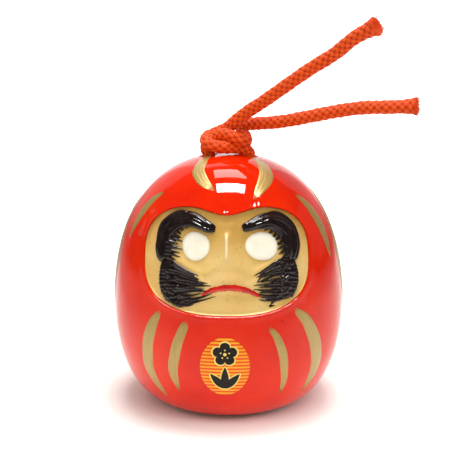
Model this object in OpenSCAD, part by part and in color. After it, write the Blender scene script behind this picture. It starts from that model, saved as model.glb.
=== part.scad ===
// Doll-shaped ceramic bell: a hollow glazed clay body with a moulded face, a clay ball inside,
// and a braided carrying cord that passes through two holes in the crown and is knotted above it.
// Millimetres. +Z is up and the face looks along -Y. The origin is under the middle of the base.

/* [Body] */
// Greatest radius of the body
body_r = 35; // [33:0.5:37]
// Height of the body from the surface it stands on to its crown
body_h = 75.5; // [74:0.5:78]
// Height of the widest ring
waist_z = 31; // [29:0.5:33]
// Radius of the flat ring that the bell stands on
base_r = 17.5; // [16.5:0.5:19]
// Roundness exponent of the outline below the waist
belly_n = 2.2; // [2:0.05:2.4]
// Roundness exponent of the outline above the waist
crown_n = 2.25; // [2.1:0.05:2.4]
// Thickness of the clay wall
wall = 4.8; // [4.4:0.1:5.2]

/* [Sound] */
// Width of the sound slit under the base
slit_w = 5; // [4.6:0.1:5.4]
// Length of the sound slit from end to end
slit_l = 32; // [30:1:34]
// Radius of the clay ball that rattles inside
ball_r = 6.5; // [6:0.1:7]

/* [Face] */
// Width of the face window
face_w = 46.4; // [43:0.2:47]
// Height of the window's lowest edge
face_low = 34.7; // [34:0.1:36]
// Height of the window's two upper lobes
face_top = 64.1; // [61:0.1:65]
// Depth of the dip in the middle of the hood
hood_dip = 2.7; // [1:0.1:3]
// Depth of the recess that the face sits in
recess = 2.4; // [2.2:0.1:2.6]
// Depth of the painted face below the body's own surface at its rim
face_sink = 1.6; // [1.4:0.1:1.8]

/* [Paint] */
// Thickness of the gold brush strokes
gold_t = 0.25; // [0.2:0.05:0.4]
// Thickness of the raised black slip of brows and beard
slip_t = 1.2; // [0.8:0.1:1.4]
// Width of the oval label on the belly
label_w = 14; // [12:0.5:15]
// Height of the oval label
label_h = 18; // [16:0.5:19]

/* [Cord] */
// Diameter of the braided cord
cord_d = 4; // [3.8:0.1:4.2]
// Diameter of the two crown holes
hole_d = 5.2; // [5:0.1:5.4]
// Distance between the crown holes
hole_gap = 12; // [11.5:0.1:12.5]
// How far the cord can be drawn up before its loop meets the crown from inside
cord_lift = 2.2; // [1.8:0.1:2.2]

/* [Hidden] */

RED = "#DC2A0C";
CLAY = "#B9714C";
SKIN = "#E9C98A";
CREAM = "#F8EFDC";
BLACK = "#15110F";
LIPS = "#C3141A";
GOLD = "#B59A4A";
AMBER = "#F2A51F";
ROPE = "#E03A14";

// Gap that keeps applied layers clear of the solid under them
gap = 0.08;
// Angle between the points of the body's outline
step = 3.75;
// How far cutting solids run past what they cut
past = 1;
$fn = 96;

// ---- The body's surface ------------------------------------------------------------------

// A point [r, z] of the outline at angle a, from -90 at the base to 90 at the crown
function outline(a) = a >= 0
    ? [body_r * pow(cos(a), 2 / crown_n), waist_z + (body_h - waist_z) * pow(sin(a), 2 / crown_n)]
    : [base_r + (body_r - base_r) * pow(cos(a), 2 / belly_n), waist_z - waist_z * pow(-sin(a), 2 / belly_n)];

function unit(v) = v / norm(v);

// The outline's outward normal at angle a
function outward(a) =
    let (d = outline(min(90, a + 0.5)) - outline(max(-90, a - 0.5)))
    unit([d[1], -d[0]]);

// The outline moved outward by lift, as points [r, z] from base to crown
function outline_at(lift) = [
    for (a = [-90:step:90])
        let (p = outline(a) + lift * outward(a))
        [a == 90 ? 0 : p[0], p[1]]
];

// Radius of the lifted body at height z, and its distance from the waist's centre at latitude phi
function radius_table(lift) = [for (p = outline_at(lift)) [p[1], p[0]]];
function reach_table(lift) = [for (p = outline_at(lift)) [atan2(p[1] - waist_z, p[0]), norm(p - [0, waist_z])]];

// The solid of revolution inside the lifted outline
module body_solid(lift) {
    rim = outline_at(lift);
    rotate_extrude() polygon(concat([[0, rim[0][1]]], rim));
}

// A point of the lifted body at azimuth az (0 is the front, 90 is +X) and latitude phi
function on_body(az, phi, table) =
    let (reach = lookup(phi, table))
    [reach * cos(phi) * sin(az), -reach * cos(phi) * cos(az), waist_z + reach * sin(phi)];

// The point of the lifted body that lies under the space point q
function drop_on(q, table) =
    on_body(atan2(q[0], -q[1]), atan2(q[2] - waist_z, norm([q[0], q[1]])), table);

// ---- The moulded face --------------------------------------------------------------------

face_x = -0.6;
face_z = 48.5;
face_n = 2.9;
// Half width of the hood's dip
dip_w = 7.5;

function curve_pow(v, n) = sign(v) * pow(abs(v), 2 / n);

// The window's outline in the X-Z plane at angle t, drawn in towards its centre by inset
function window(t, inset = 0) =
    let (
        half_h = sin(t) > 0 ? face_top - face_z : face_z - face_low,
        x = (face_w / 2 - inset) * curve_pow(cos(t), face_n),
        z = (half_h - inset) * curve_pow(sin(t), face_n),
        dip = sin(t) > 0 ? hood_dip * exp(-pow(x / dip_w, 2)) : 0
    )
    [face_x + x, face_z + z - dip];
function window_loop(inset = 0) = [for (t = [3:6:357]) window(t, inset)];

function bump(v, middle, width) = exp(-pow((v - middle) / width, 2));

// Height of the nose, lip and cheeks above the plain face
nose_x = -0.6;
nose_tip = 47.2;
function nose(x, z) =
    let (down = min(1, max(0, (58 - z) / (58 - nose_tip))), half = 1.9 + 2.3 * down)
    (z > nose_tip ? 0.7 + 1.7 * down : 2.4 * bump(z, nose_tip, 1.6)) * bump(x, nose_x, half);
function relief(x, z) =
    nose(x, z)
    + 0.9 * bump(x, 0.5, 9) * bump(z, 42, 2.6)
    + 0.5 * bump(abs(x), 14, 5) * bump(z, 43, 6);

front_table = [for (k = [0:12]) let (lift = -recess + k * 0.5) [lift, radius_table(lift)]];

// The front point at x and z of the body lifted by lift, between the two nearest stored outlines
function front_point(x, z, lift) =
    let (
        place = (lift - front_table[0][0]) / 0.5,
        low = min(len(front_table) - 2, max(0, floor(place))),
        part = place - low,
        r = (1 - part) * lookup(z, front_table[low][1]) + part * lookup(z, front_table[low + 1][1])
    )
    [x, -sqrt(max(1, r * r - x * x)), z];

function face_point(x, z, lift) = front_point(x, z, lift - face_sink + relief(x, z));

// ---- Building blocks ---------------------------------------------------------------------

// A closed solid through a list of rings that all have the same number of points
module loft(rings) {
    n = len(rings[0]);
    m = len(rings);
    sides = [
        for (i = [0:m - 2], j = [0:n - 1])
            let (k = (j + 1) % n)
            each [[i * n + j, (i + 1) * n + k, i * n + k], [i * n + j, (i + 1) * n + j, (i + 1) * n + k]]
    ];
    ends = [[for (j = [0:n - 1]) j], [for (j = [0:n - 1]) (m - 1) * n + n - 1 - j]];
    polyhedron([for (ring = rings) each ring], concat(sides, ends));
}

// A smooth curve through control points, with count steps between each pair
function curve(points, count) =
    let (last = len(points) - 1)
    [
        for (i = [0:last - 1], k = [0:count - 1])
            let (
                t = k / count,
                a = points[max(0, i - 1)],
                b = points[i],
                c = points[i + 1],
                d = points[min(last, i + 2)]
            )
            0.5 * (2 * b + (c - a) * t + (2 * a - 5 * b + 4 * c - d) * t * t + (3 * b - a - 3 * c + d) * t * t * t),
        points[last]
    ];

// Columns across a ribbon, and the height of a domed ribbon at column j
columns = 6;
function across(j) = 2 * j / columns - 1;
function dome(j, thick) = 0.06 + (thick - 0.06) * sqrt(max(0, 1 - pow(across(j), 2)));

// A ring of a ribbon: over its top from left to right, then back underneath
function ribbon_ring(top, under) =
    concat([for (j = [0:columns]) top[j]], [for (j = [columns:-1:0]) under[j]]);

// A raised stroke on the face along points [x, z, half width]
module face_stroke(path, thick) {
    line = curve(path, 4);
    last = len(line) - 1;
    loft([
        for (i = [0:last])
            let (
                d = line[min(last, i + 1)] - line[max(0, i - 1)],
                side = unit([d[1], -d[0]]) * line[i][2],
                spots = [for (j = [0:columns]) [line[i][0], line[i][1]] + side * across(j)]
            )
            ribbon_ring(
                [for (j = [0:columns]) face_point(spots[j][0], spots[j][1], gap + dome(j, thick))],
                [for (j = [0:columns]) face_point(spots[j][0], spots[j][1], gap)]
            )
    ]);
}

// A thin brush stroke on the body along points [azimuth, height, half width]
stroke_low = reach_table(gap);
stroke_high = reach_table(gap + gold_t);
function latitude(z) = atan2(z - waist_z, lookup(z, radius_table(0)));
module body_stroke(path) {
    line = curve([for (p = path) [p[0], latitude(p[1]), p[2]]], 4);
    last = len(line) - 1;
    spine = [for (p = line) on_body(p[0], p[1], stroke_low)];
    loft([
        for (i = [0:last])
            let (
                d = spine[min(last, i + 1)] - spine[max(0, i - 1)],
                up = spine[i] - [0, 0, waist_z],
                side = unit(cross(d, up)) * line[i][2],
                spots = [for (j = [0:columns]) spine[i] + side * across(j)]
            )
            ribbon_ring(
                [for (q = spots) drop_on(q, stroke_high)],
                [for (q = spots) drop_on(q, stroke_low)]
            )
    ]);
}

// The same path on the other side of the body
function mirrored(path) = [for (p = path) [-p[0], p[1], p[2]]];

// ---- Clay --------------------------------------------------------------------------------

// The wall's section from axis to axis, up the outside and back down the inside
module wall_section() {
    outer = outline_at(0);
    inner = outline_at(-wall);
    last = len(inner) - 1;
    polygon(concat([[0, 0]], outer, [for (k = [last:-1:0]) inner[k]], [[0, wall]]));
}

module face_cut() {
    start = body_r / 4;
    difference() {
        translate([0, -start, 0]) rotate([90, 0, 0]) linear_extrude(body_r)
            polygon(window_loop());
        body_solid(-recess);
    }
}

module slit() {
    half = (slit_l - slit_w) / 2;
    translate([0, 0, -past]) linear_extrude(wall + 2 * past) {
        square([2 * half, slit_w], center = true);
        for (side = [-1, 1]) translate([side * half, 0]) circle(d = slit_w);
    }
}

module cord_holes() {
    for (side = [-1, 1])
        translate([side * hole_gap / 2, 0, body_h - 2 * wall]) rotate([0, 0, 45]) cylinder(d = hole_d, h = 3 * wall);
}

// The body is pressed in two halves that are joined on the plane through the cord holes
module shell_back() {
    color(RED) difference() {
        rotate_extrude(angle = 180) wall_section();
        slit();
        cord_holes();
    }
}

module shell_front() {
    color(RED) difference() {
        rotate([0, 0, 180]) rotate_extrude(angle = 180) wall_section();
        slit();
        cord_holes();
        face_cut();
    }
}

// The ball sits on the two edges of the slit and rolls along it
ball_gap = 0.12;
ball_z = wall + sqrt(pow(ball_r + ball_gap, 2) - pow(slit_w / 2, 2));
module rattle_ball() {
    color(CLAY) translate([0, 0, ball_z]) sphere(r = ball_r);
}

// ---- Face --------------------------------------------------------------------------------

// A closed patch of the front whose edge is a loop of points [x, z] about a middle point.
// The heights of its top and under sides at share k of the way out are given by two functions.
module patch(edge, middle, rings, top, under) {
    function ring(k, lift) = [
        for (p = edge)
            let (q = middle + (p - middle) * max(0.04, k / rings))
            lift(q[0], q[1], k / rings)
    ];
    loft(concat(
        [for (k = [0:rings]) ring(k, under)],
        [for (k = [rings:-1:0]) ring(k, top)]
    ));
}

function ellipse(middle, w, h, tilt = 0) = [
    for (t = [0:15:345])
        let (x = w / 2 * cos(t), z = h / 2 * sin(t))
        middle + [x * cos(tilt) - z * sin(tilt), x * sin(tilt) + z * cos(tilt)]
];

module face_panel() {
    color(SKIN) patch(
        window_loop(0.15), [face_x, face_z], 9,
        function(x, z, k) face_point(x, z, 0),
        function(x, z, k) front_point(x, z, gap - recess)
    );
}

// A blank domed eye
eye_t = 1.3;
module eye(middle, w, h, tilt) {
    color(CREAM) patch(
        ellipse(middle, w, h, tilt), middle, 4,
        function(x, z, k) face_point(x, z, gap + 0.1 + eye_t * sqrt(1 - k * k)),
        function(x, z, k) face_point(x, z, gap)
    );
}
module eye_left() eye([-9.1, 53], 7.8, 7.8, 0);
module eye_right() eye([9.2, 53], 9.2, 7.6, -12);

module mouth() {
    color(LIPS) face_stroke([[-7.4, 40.2, 0.3], [-4.5, 41.6, 0.7], [0.5, 42.4, 0.85], [5, 41.6, 0.7], [9, 39.8, 0.3]], 0.9);
}

// Each brow runs out from beside the nose, over the eye and down its outer side
module brow_left() {
    color(BLACK) face_stroke([
        [-3.2, 57.3, 0.8], [-5.5, 58.2, 1.6], [-9.5, 59.6, 2], [-14, 59.2, 2.2], [-17.3, 56.3, 2.5],
        [-18.2, 52.5, 2.4], [-17.6, 49.4, 1.6]
    ], slip_t);
}
module brow_right() {
    color(BLACK) face_stroke([
        [2.8, 57.8, 0.9], [6, 58.8, 1.6], [10, 60, 1.8], [13.6, 59.2, 2.1], [16.8, 56, 2.4],
        [17.7, 52.4, 2.5], [17.2, 49.8, 1.6]
    ], slip_t);
}

// Each side beard is a round blot that trails down and in towards the mouth
module beard_left() {
    color(BLACK) face_stroke([
        [-12.6, 46.6, 1], [-15.4, 45.2, 2.4], [-16, 42.2, 4], [-14.2, 39.6, 3.2], [-10.4, 38.3, 2], [-7.6, 38.9, 0.8]
    ], slip_t);
}
module beard_right() {
    color(BLACK) face_stroke([
        [10, 46.2, 0.8], [13.4, 46, 2.2], [16.2, 43, 4], [14.6, 40.2, 3], [11.6, 38.3, 1.6], [9.6, 38.2, 0.6]
    ], slip_t);
}

// ---- Gold brush strokes ------------------------------------------------------------------

// Paths are points [azimuth, height, half width]
forehead_path = [[43, 74.6, 0.5], [42, 73.4, 1.3], [34, 71.5, 1.7], [26, 69.8, 1.5], [16, 67.4, 0.8], [11, 66, 0.3]];
temple_path = [[53, 65.6, 0.5], [60, 61.6, 1.8], [63, 56.2, 1.8], [64.5, 49.5, 0.5]];
side_path = [[88, 64, 0.5], [86, 56, 1.5], [85, 46, 2], [85, 37, 1.7], [87, 29, 0.5]];
belly_outer_path = [[32, 35, 0.7], [39, 29.8, 1.9], [44, 22, 2.4], [45.5, 14.5, 2.2], [42, 8, 0.7]];
belly_inner_path = [[18.4, 31.6, 0.7], [23, 27.2, 1.4], [26.3, 21.3, 1.7], [27.8, 15.2, 1.4], [27.3, 10.2, 0.4]];

module forehead_stroke_left() color(GOLD) body_stroke(mirrored(forehead_path));
module forehead_stroke_right() color(GOLD) body_stroke(forehead_path);
module temple_stroke_left() color(GOLD) body_stroke(mirrored(temple_path));
module temple_stroke_right() color(GOLD) body_stroke(temple_path);
module side_stroke_left() color(GOLD) body_stroke(mirrored(side_path));
module side_stroke_right() color(GOLD) body_stroke(side_path);
module belly_outer_left() color(GOLD) body_stroke(mirrored(belly_outer_path));
module belly_outer_right() color(GOLD) body_stroke(belly_outer_path);
module belly_inner_left() color(GOLD) body_stroke(mirrored(belly_inner_path));
module belly_inner_right() color(GOLD) body_stroke(belly_inner_path);

// ---- Label -------------------------------------------------------------------------------

label_at = [-1, 19.6];
label_t = 0.2;
print_t = 0.12;
print_lift = gap + label_t + 0.05;

// A flat patch of the belly between two lifts
module decal(edge, middle, rings, low, thick) {
    patch(
        edge, middle, rings,
        function(x, z, k) front_point(x, z, low + thick),
        function(x, z, k) front_point(x, z, low)
    );
}

module label() {
    color(AMBER) decal(ellipse(label_at, label_w, label_h), label_at, 5, gap, label_t);
}

// Five round petals about a middle point
blossom_at = label_at + [0, 4.2];
blossom_r = 3.8;
module label_blossom() {
    edge = [
        for (t = [0:10:350])
            let (r = blossom_r * (0.62 + 0.38 * abs(cos(2.5 * (t - 90)))))
            blossom_at + r * [cos(t), sin(t)]
    ];
    color(BLACK) decal(edge, blossom_at, 3, print_lift, print_t);
}

// Three pointed leaves that spread from one stalk
leaves_at = label_at + [0, -6.6];
leaf_l = 6.8;
leaf_half = 1.1;
module label_leaves() {
    color(BLACK) for (turn = [-42, 0, 42]) {
        along = [sin(turn), cos(turn)];
        over = [cos(turn), -sin(turn)];
        foot = leaves_at + 0.6 * along + over * turn / 42;
        edge = concat(
            [for (t = [0:0.125:0.99]) foot + leaf_l * t * along + leaf_half * sin(180 * t) * over],
            [for (t = [1:-0.125:0.01]) foot + leaf_l * t * along - leaf_half * sin(180 * t) * over]
        );
        decal(edge, foot + leaf_l / 2 * along, 2, print_lift, print_t);
    }
}

// ---- Cord --------------------------------------------------------------------------------

// A round tube along points, with a flare at its far end
module tube(points, sides, flare = 1) {
    last = len(points) - 1;
    loft([
        for (i = [0:last])
            let (
                d = unit(points[min(last, i + 1)] - points[max(0, i - 1)]),
                u = unit(cross(d, abs(d[1]) > 0.9 ? [1, 0, 0] : [0, 1, 0])),
                v = cross(d, u),
                r = cord_d / 2 * (i == last ? flare : 1)
            )
            [for (j = [0:sides - 1]) points[i] + r * (cos(360 * j / sides) * u + sin(360 * j / sides) * v)]
    ]);
}

// Inside the crown the cord hangs in a half turn between its two holes. The half turn's centre is
// low enough to rise by cord_lift before its inner side meets the edges of the web between the holes.
loop_spare = 0.3;
web_rise = sqrt(pow((hole_gap - cord_d) / 2, 2) - pow((hole_gap - hole_d) / 2, 2));
loop_z = body_h - wall + web_rise - loop_spare - cord_lift;
leg_x = hole_gap / 2;
leg_top = [leg_x, 0, body_h + 1.5];
leg_end = [leg_x - 1.5, 0, body_h + 5];
module cord_loop() {
    turn = [for (t = [0:30:180]) [-leg_x * cos(t), 0, loop_z - leg_x * sin(t)]];
    left = [[-leg_end[0], 0, leg_end[2]], [-leg_top[0], 0, leg_top[2]]];
    color(ROPE) tube(concat(left, turn, [leg_top, leg_end]), 8);
}

// The knot's outer shape: an upright lozenge of revolution about the X axis
knot_half_w = 7.6;
knot_r = 6.2;
knot_at = [-1.1, 0, body_h + 0.4 + knot_r];
module cord_knot() {
    side = [for (t = [0:7.5:180]) [knot_r * sin(t), knot_half_w * cos(t)]];
    color(ROPE) translate(knot_at) rotate([0, 90, 0]) rotate_extrude() polygon(side);
}

upper_route = [[2, -1, 86.5], [5.5, -3, 88.6], [9.5, -6, 91], [16, -11, 96], [22.5, -16, 101], [29, -21, 105.5], [34, -26, 110], [39, -30, 113]];
lower_route = [[3.5, 1, 82], [8, 0, 84], [12.5, -3, 85], [18, -6, 86], [24, -9.5, 87.5], [31, -13, 89.2], [38, -17, 90.5], [45, -21, 91], [51.5, -24, 91.5]];

module tail_upper() color(ROPE) tube(upper_route, 8, 1.35);
module tail_lower() color(ROPE) tube(lower_route, 8, 1.2);

shell_front();
shell_back();
rattle_ball();
face_panel();
eye_left();
eye_right();
mouth();
brow_left();
brow_right();
beard_left();
beard_right();
forehead_stroke_left();
forehead_stroke_right();
temple_stroke_left();
temple_stroke_right();
side_stroke_left();
side_stroke_right();
belly_outer_left();
belly_outer_right();
belly_inner_left();
belly_inner_right();
label();
label_blossom();
label_leaves();
cord_loop();
cord_knot();
tail_upper();
tail_lower();
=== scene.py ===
import math

import bpy
import bmesh
import numpy as np
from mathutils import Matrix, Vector


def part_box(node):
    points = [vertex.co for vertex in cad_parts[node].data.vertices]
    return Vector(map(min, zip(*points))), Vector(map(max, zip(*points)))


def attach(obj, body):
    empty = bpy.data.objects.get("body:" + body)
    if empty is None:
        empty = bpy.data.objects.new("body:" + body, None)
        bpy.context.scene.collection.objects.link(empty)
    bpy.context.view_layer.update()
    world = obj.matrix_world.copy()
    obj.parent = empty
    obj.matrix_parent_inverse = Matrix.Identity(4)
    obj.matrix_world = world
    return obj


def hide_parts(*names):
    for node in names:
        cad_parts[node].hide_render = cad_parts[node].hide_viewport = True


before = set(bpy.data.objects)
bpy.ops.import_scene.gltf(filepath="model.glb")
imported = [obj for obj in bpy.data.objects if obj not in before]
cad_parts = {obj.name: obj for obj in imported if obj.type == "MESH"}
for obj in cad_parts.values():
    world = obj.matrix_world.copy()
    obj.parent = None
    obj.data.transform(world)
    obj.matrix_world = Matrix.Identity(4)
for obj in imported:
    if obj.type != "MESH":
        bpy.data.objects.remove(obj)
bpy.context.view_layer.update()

# Everything below is worked out in millimetres and made in metres.
MM = 0.001

# ---- Driving dimensions ------------------------------------------------------------------

BODY_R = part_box("shell_back")[1].x / MM
BODY_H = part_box("shell_back")[1].z / MM
WAIST_Z = 31.0
BASE_R = 17.5
BELLY_N = 2.2
CROWN_N = 2.25
WALL = 4.8
SLIT_W = 5.0
SLIT_HALF = 16.0
HOLE_X = 6.0
HOLE_R = 2.6

FACE_X, FACE_Z = -0.6, 48.5
FACE_HALF_W = 23.2
FACE_TOP, FACE_LOW = 64.1, 34.7
FACE_N = 2.9
HOOD_DIP, DIP_W = 2.7, 7.5
FACE_SINK = 1.6
RECESS = 2.4

CORD_D = 4.0
NOSE_X = -0.6


# ---- Scene: camera, light and floor ------------------------------------------------------

def add_object(name, data):
    made = bpy.data.objects.new(name, data)
    bpy.context.scene.collection.objects.link(made)
    return made


def look(obj, target):
    obj.rotation_mode = "QUATERNION"
    obj.rotation_quaternion = (Vector(target) - obj.location).to_track_quat("-Z", "Y")


def add_camera():
    distance, height = 0.300, 0.11255
    pitch, yaw = math.radians(11.2), math.radians(-0.15)
    data = bpy.data.cameras.new("camera")
    data.sensor_width = 36.0
    data.lens = 79.65
    data.clip_start = 0.01
    data.clip_end = 10.0
    camera = add_object("camera", data)
    camera.location = (0.0, -distance, height)
    ahead = (math.sin(yaw) * math.cos(pitch), math.cos(yaw) * math.cos(pitch), -math.sin(pitch))
    look(camera, camera.location + Vector(ahead))
    bpy.context.scene.camera = camera


def area_light(name, place, target, size, power, colour=(1, 1, 1)):
    data = bpy.data.lights.new(name, "AREA")
    data.shape = "RECTANGLE"
    data.size, data.size_y = size
    data.energy = power
    data.color = colour
    light = add_object(name, data)
    light.location = place
    look(light, target)
    return light


def add_lights():
    """Panels that only show as reflections in the glaze, and soft fills that only light it."""
    white = (1.0, 1.0, 1.0)
    stand = (0, 0, 0.05)
    for name, place, target, size, power, colour in (
        ("overhead_near", (0.016, -0.013, 0.56), (0.016, 0.03, 0.06), (0.21, 0.115), 3.6, white),
        ("overhead_far", (0.016, 0.212, 0.56), (0.016, 0.06, 0.06), (0.215, 0.15), 0.95, (1.0, 0.90, 0.84)),
        ("left_window", (-0.57, 0.25, 0.26), stand, (0.07, 0.20), 0.02, white),
        ("right_window", (0.60, 0.22, 0.24), stand, (0.20, 0.34), 0.035, white),
    ):
        panel = area_light(name, place, target, size, power, colour)
        panel.visible_diffuse = False
    for name, place, target, size, power in (
        ("top_fill", (0.02, 0.06, 0.62), (0.02, 0, 0.05), (0.30, 0.30), 3.0),
        ("front_fill", (-0.05, -0.55, 0.75), stand, (0.8, 0.6), 3.5),
        ("low_fill", (0.0, -0.85, 0.16), stand, (0.7, 0.3), 1.3),
        ("left_fill", (-0.8, -0.25, 0.45), stand, (0.5, 0.6), 1.8),
        ("right_fill", (0.8, -0.25, 0.45), stand, (0.5, 0.6), 1.8),
    ):
        fill = area_light(name, place, target, size, power)
        fill.visible_glossy = False
    add_world()


def add_world():
    """Pale where it is seen past the floor's edge, and dim as a light."""
    world = bpy.data.worlds.new("studio")
    bpy.context.scene.world = world
    world.use_nodes = True
    graph = world.node_tree
    sky = graph.nodes["Background"]
    sky.inputs["Color"].default_value = (1.0, 0.985, 0.97, 1)
    seen = graph.nodes.new("ShaderNodeLightPath").outputs["Is Camera Ray"]
    wire(graph, span(graph, seen, 0.0, 1.0, 0.10, 0.60), sky.inputs["Strength"])


def add_floor():
    """A pale floor that curves up into a backdrop."""
    width, front, back, bend, top = 3.0, -1.2, 0.9, 0.4, 1.6
    curve = [(front, 0.0), (back, 0.0)]
    curve += [
        (back + bend * math.sin(t), bend * (1 - math.cos(t)))
        for t in np.radians(np.arange(10, 91, 10))
    ]
    curve.append((back + bend, top))
    verts = [(x, y, z) for y, z in curve for x in (-width / 2, width / 2)]
    faces = [(2 * i, 2 * i + 1, 2 * i + 3, 2 * i + 2) for i in range(len(curve) - 1)]
    mesh = bpy.data.meshes.new("floor")
    mesh.from_pydata(verts, [], faces)
    smooth_faces(mesh)
    mesh.materials.append(floor_paper())
    add_object("floor", mesh)


def floor_paper():
    """Pale grey, with a painted pool of light, paler and glowing, that widens to the back,
    with painted shadow where its glow dims round the object, and a faint painted glow up the backdrop."""
    material, graph, shader = new_material("floor_paper")
    place = place_of(graph)
    axes = axes_of(graph, place)
    # Edges of a painted pool of light: paler paper and glow inside it, grey paper outside
    in_front = span(graph, axes["Y"], -0.10, -0.05)
    behind = sums(graph, "MAXIMUM", axes["Y"], 0.0)
    left = sums(graph, "ADD", axes["X"], sums(graph, "MULTIPLY", behind, 0.25))
    right = sums(graph, "SUBTRACT", axes["X"], sums(graph, "MULTIPLY", behind, 0.30))
    across = sums(graph, "MULTIPLY", span(graph, left, -0.16, -0.085), span(graph, right, 0.26, 0.12))
    painted_light_pool = sums(graph, "MULTIPLY", in_front, across)
    # Darker, warmer paper in front and round the object, which tints the painted shadow there, and paler
    # paper behind
    far = span(graph, axes["Y"], 0.05, 0.35)
    paper = mix(graph, far, (0.82, 0.78, 0.72), (0.90, 0.90, 0.90))
    wire(graph, mix(graph, painted_light_pool, (0.60, 0.59, 0.58), paper), shader.inputs["Base Color"])
    set_shader(shader, Roughness=0.6, Emission_Color=(1, 0.995, 0.99, 1))
    # Centre of a painted contact shadow, set a little to one side of the object
    shift = graph.nodes.new("ShaderNodeVectorMath")
    shift.inputs[1].default_value = (0.005, -0.003, 0)
    wire(graph, place, shift.inputs[0])
    reach = graph.nodes.new("ShaderNodeVectorMath")
    reach.operation = "LENGTH"
    wire(graph, shift.outputs["Vector"], reach.inputs[0])
    # The glow is zero under and round the object and rises outward: a painted contact shadow
    glow = span(graph, reach.outputs["Value"], 0.026, 0.042, 0.0, 0.4)
    glow = sums(graph, "ADD", glow, span(graph, far, 0.0, 1.0, 0.0, 0.6))
    # A painted glow that rises up the backdrop
    backdrop = span(graph, axes["Z"], 0.02, 0.30, 0.0, 0.45)
    glow = sums(graph, "MAXIMUM", sums(graph, "MULTIPLY", glow, painted_light_pool), backdrop)
    wire(graph, glow, shader.inputs["Emission Strength"])
    return material


# ---- Materials ---------------------------------------------------------------------------

def new_material(name):
    material = bpy.data.materials.new(name)
    material.use_nodes = True
    graph = material.node_tree
    return material, graph, graph.nodes["Principled BSDF"]


def set_shader(shader, **values):
    """Sets sockets by name, with _ for a space."""
    for name, value in values.items():
        shader.inputs[name.replace("_", " ")].default_value = value


def wire(graph, source, target):
    graph.links.new(source, target)


def place_of(graph, kind="Object", scale=(1, 1, 1)):
    """Coordinates in metres ("Object") or in millimetres along and across a stroke ("UV")."""
    coordinates = graph.nodes.new("ShaderNodeTexCoord")
    mapping = graph.nodes.new("ShaderNodeMapping")
    mapping.inputs["Scale"].default_value = scale
    wire(graph, coordinates.outputs[kind], mapping.inputs["Vector"])
    return mapping.outputs["Vector"]


def axes_of(graph, place):
    """The X, Y and Z of coordinates, by name."""
    split = graph.nodes.new("ShaderNodeSeparateXYZ")
    wire(graph, place, split.inputs["Vector"])
    return split.outputs


def noise(graph, vector, scale, detail=3.0, rough=0.5, distortion=0.0):
    made = graph.nodes.new("ShaderNodeTexNoise")
    made.inputs["Scale"].default_value = scale
    made.inputs["Detail"].default_value = detail
    made.inputs["Roughness"].default_value = rough
    made.inputs["Distortion"].default_value = distortion
    wire(graph, vector, made.inputs["Vector"])
    return made.outputs["Fac"]


def ramp(graph, factor, stops):
    """Colours at positions from 0 to 1."""
    made = graph.nodes.new("ShaderNodeValToRGB")
    elements = made.color_ramp.elements
    while len(elements) < len(stops):
        elements.new(0.5)
    for element, (position, colour) in zip(elements, stops):
        element.position = position
        element.color = (*colour, 1)
    wire(graph, factor, made.inputs["Fac"])
    return made.outputs["Color"]


def span(graph, value, low, high, to_low=0.0, to_high=1.0):
    made = graph.nodes.new("ShaderNodeMapRange")
    for name, number in (("From Min", low), ("From Max", high), ("To Min", to_low), ("To Max", to_high)):
        made.inputs[name].default_value = number
    wire(graph, value, made.inputs["Value"])
    return made.outputs["Result"]


def sums(graph, kind, a, b):
    made = graph.nodes.new("ShaderNodeMath")
    made.operation = kind
    for socket, value in zip(made.inputs, (a, b)):
        if isinstance(value, (int, float)):
            socket.default_value = value
        else:
            wire(graph, value, socket)
    return made.outputs["Value"]


def mix(graph, factor, a, b):
    made = graph.nodes.new("ShaderNodeMix")
    made.data_type = "RGBA"
    wire(graph, factor, made.inputs["Factor"])
    for socket, value in ((made.inputs["A"], a), (made.inputs["B"], b)):
        if isinstance(value, tuple):
            socket.default_value = (*value, 1)
        else:
            wire(graph, value, socket)
    return made.outputs["Result"]


def bump(graph, shader, height, distance, strength=1.0):
    made = graph.nodes.new("ShaderNodeBump")
    made.inputs["Strength"].default_value = strength
    made.inputs["Distance"].default_value = distance
    wire(graph, height, made.inputs["Height"])
    wire(graph, made.outputs["Normal"], shader.inputs["Normal"])


def tinted(name, tint, stops, grain, depth, strength, rough=None, **values):
    """A coating whose colour and bumps follow two noises, tint and grain, given as noise() takes them.
    rough is its lowest and highest roughness and the noise between them, where it varies."""
    material, graph, shader = new_material(name)
    place = place_of(graph)
    wire(graph, ramp(graph, noise(graph, place, *tint), stops), shader.inputs["Base Color"])
    if rough:
        low, high, patches = rough
        varied = span(graph, noise(graph, place, *patches), 0.3, 0.7, low, high)
        wire(graph, varied, shader.inputs["Roughness"])
    set_shader(shader, **values)
    bump(graph, shader, noise(graph, place, *grain), depth, strength)
    return material


def red_glaze():
    """Glossy red-orange glaze, wiped off the base to bare clay."""
    material, graph, shader = new_material("red_glaze")
    place = place_of(graph)
    pooled = noise(graph, place, 60, 4, 0.55)
    specks = noise(graph, place, 1400, 2, 0.6)
    red = ramp(graph, pooled, [
        (0.30, (0.66, 0.012, 0.001)),
        (0.55, (0.74, 0.019, 0.001)),
        (0.75, (0.78, 0.030, 0.001)),
    ])
    clay = ramp(graph, specks, [(0.3, (0.42, 0.20, 0.11)), (0.7, (0.62, 0.34, 0.20))])
    axes = axes_of(graph, place)
    ragged = span(graph, noise(graph, place, 300, 2), 0.3, 0.7, -0.0004, 0.0004)
    bare = span(graph, sums(graph, "ADD", axes["Z"], ragged), 0.0012, 0.0006)
    wire(graph, mix(graph, bare, red, clay), shader.inputs["Base Color"])
    wire(graph, span(graph, bare, 0, 1, 0.35, 0.8), shader.inputs["Roughness"])
    wire(graph, span(graph, bare, 0, 1, 1.0, 0.0), shader.inputs["Coat Weight"])
    set_shader(shader, Coat_Roughness=0.03, Coat_IOR=1.36, Specular_IOR_Level=0.0)
    peel = noise(graph, place_of(graph, "Object", (0.5, 0.5, 2.4)), 420, 3, 0.55)
    bump(graph, shader, peel, 0.00006, 0.6)
    return material


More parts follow.
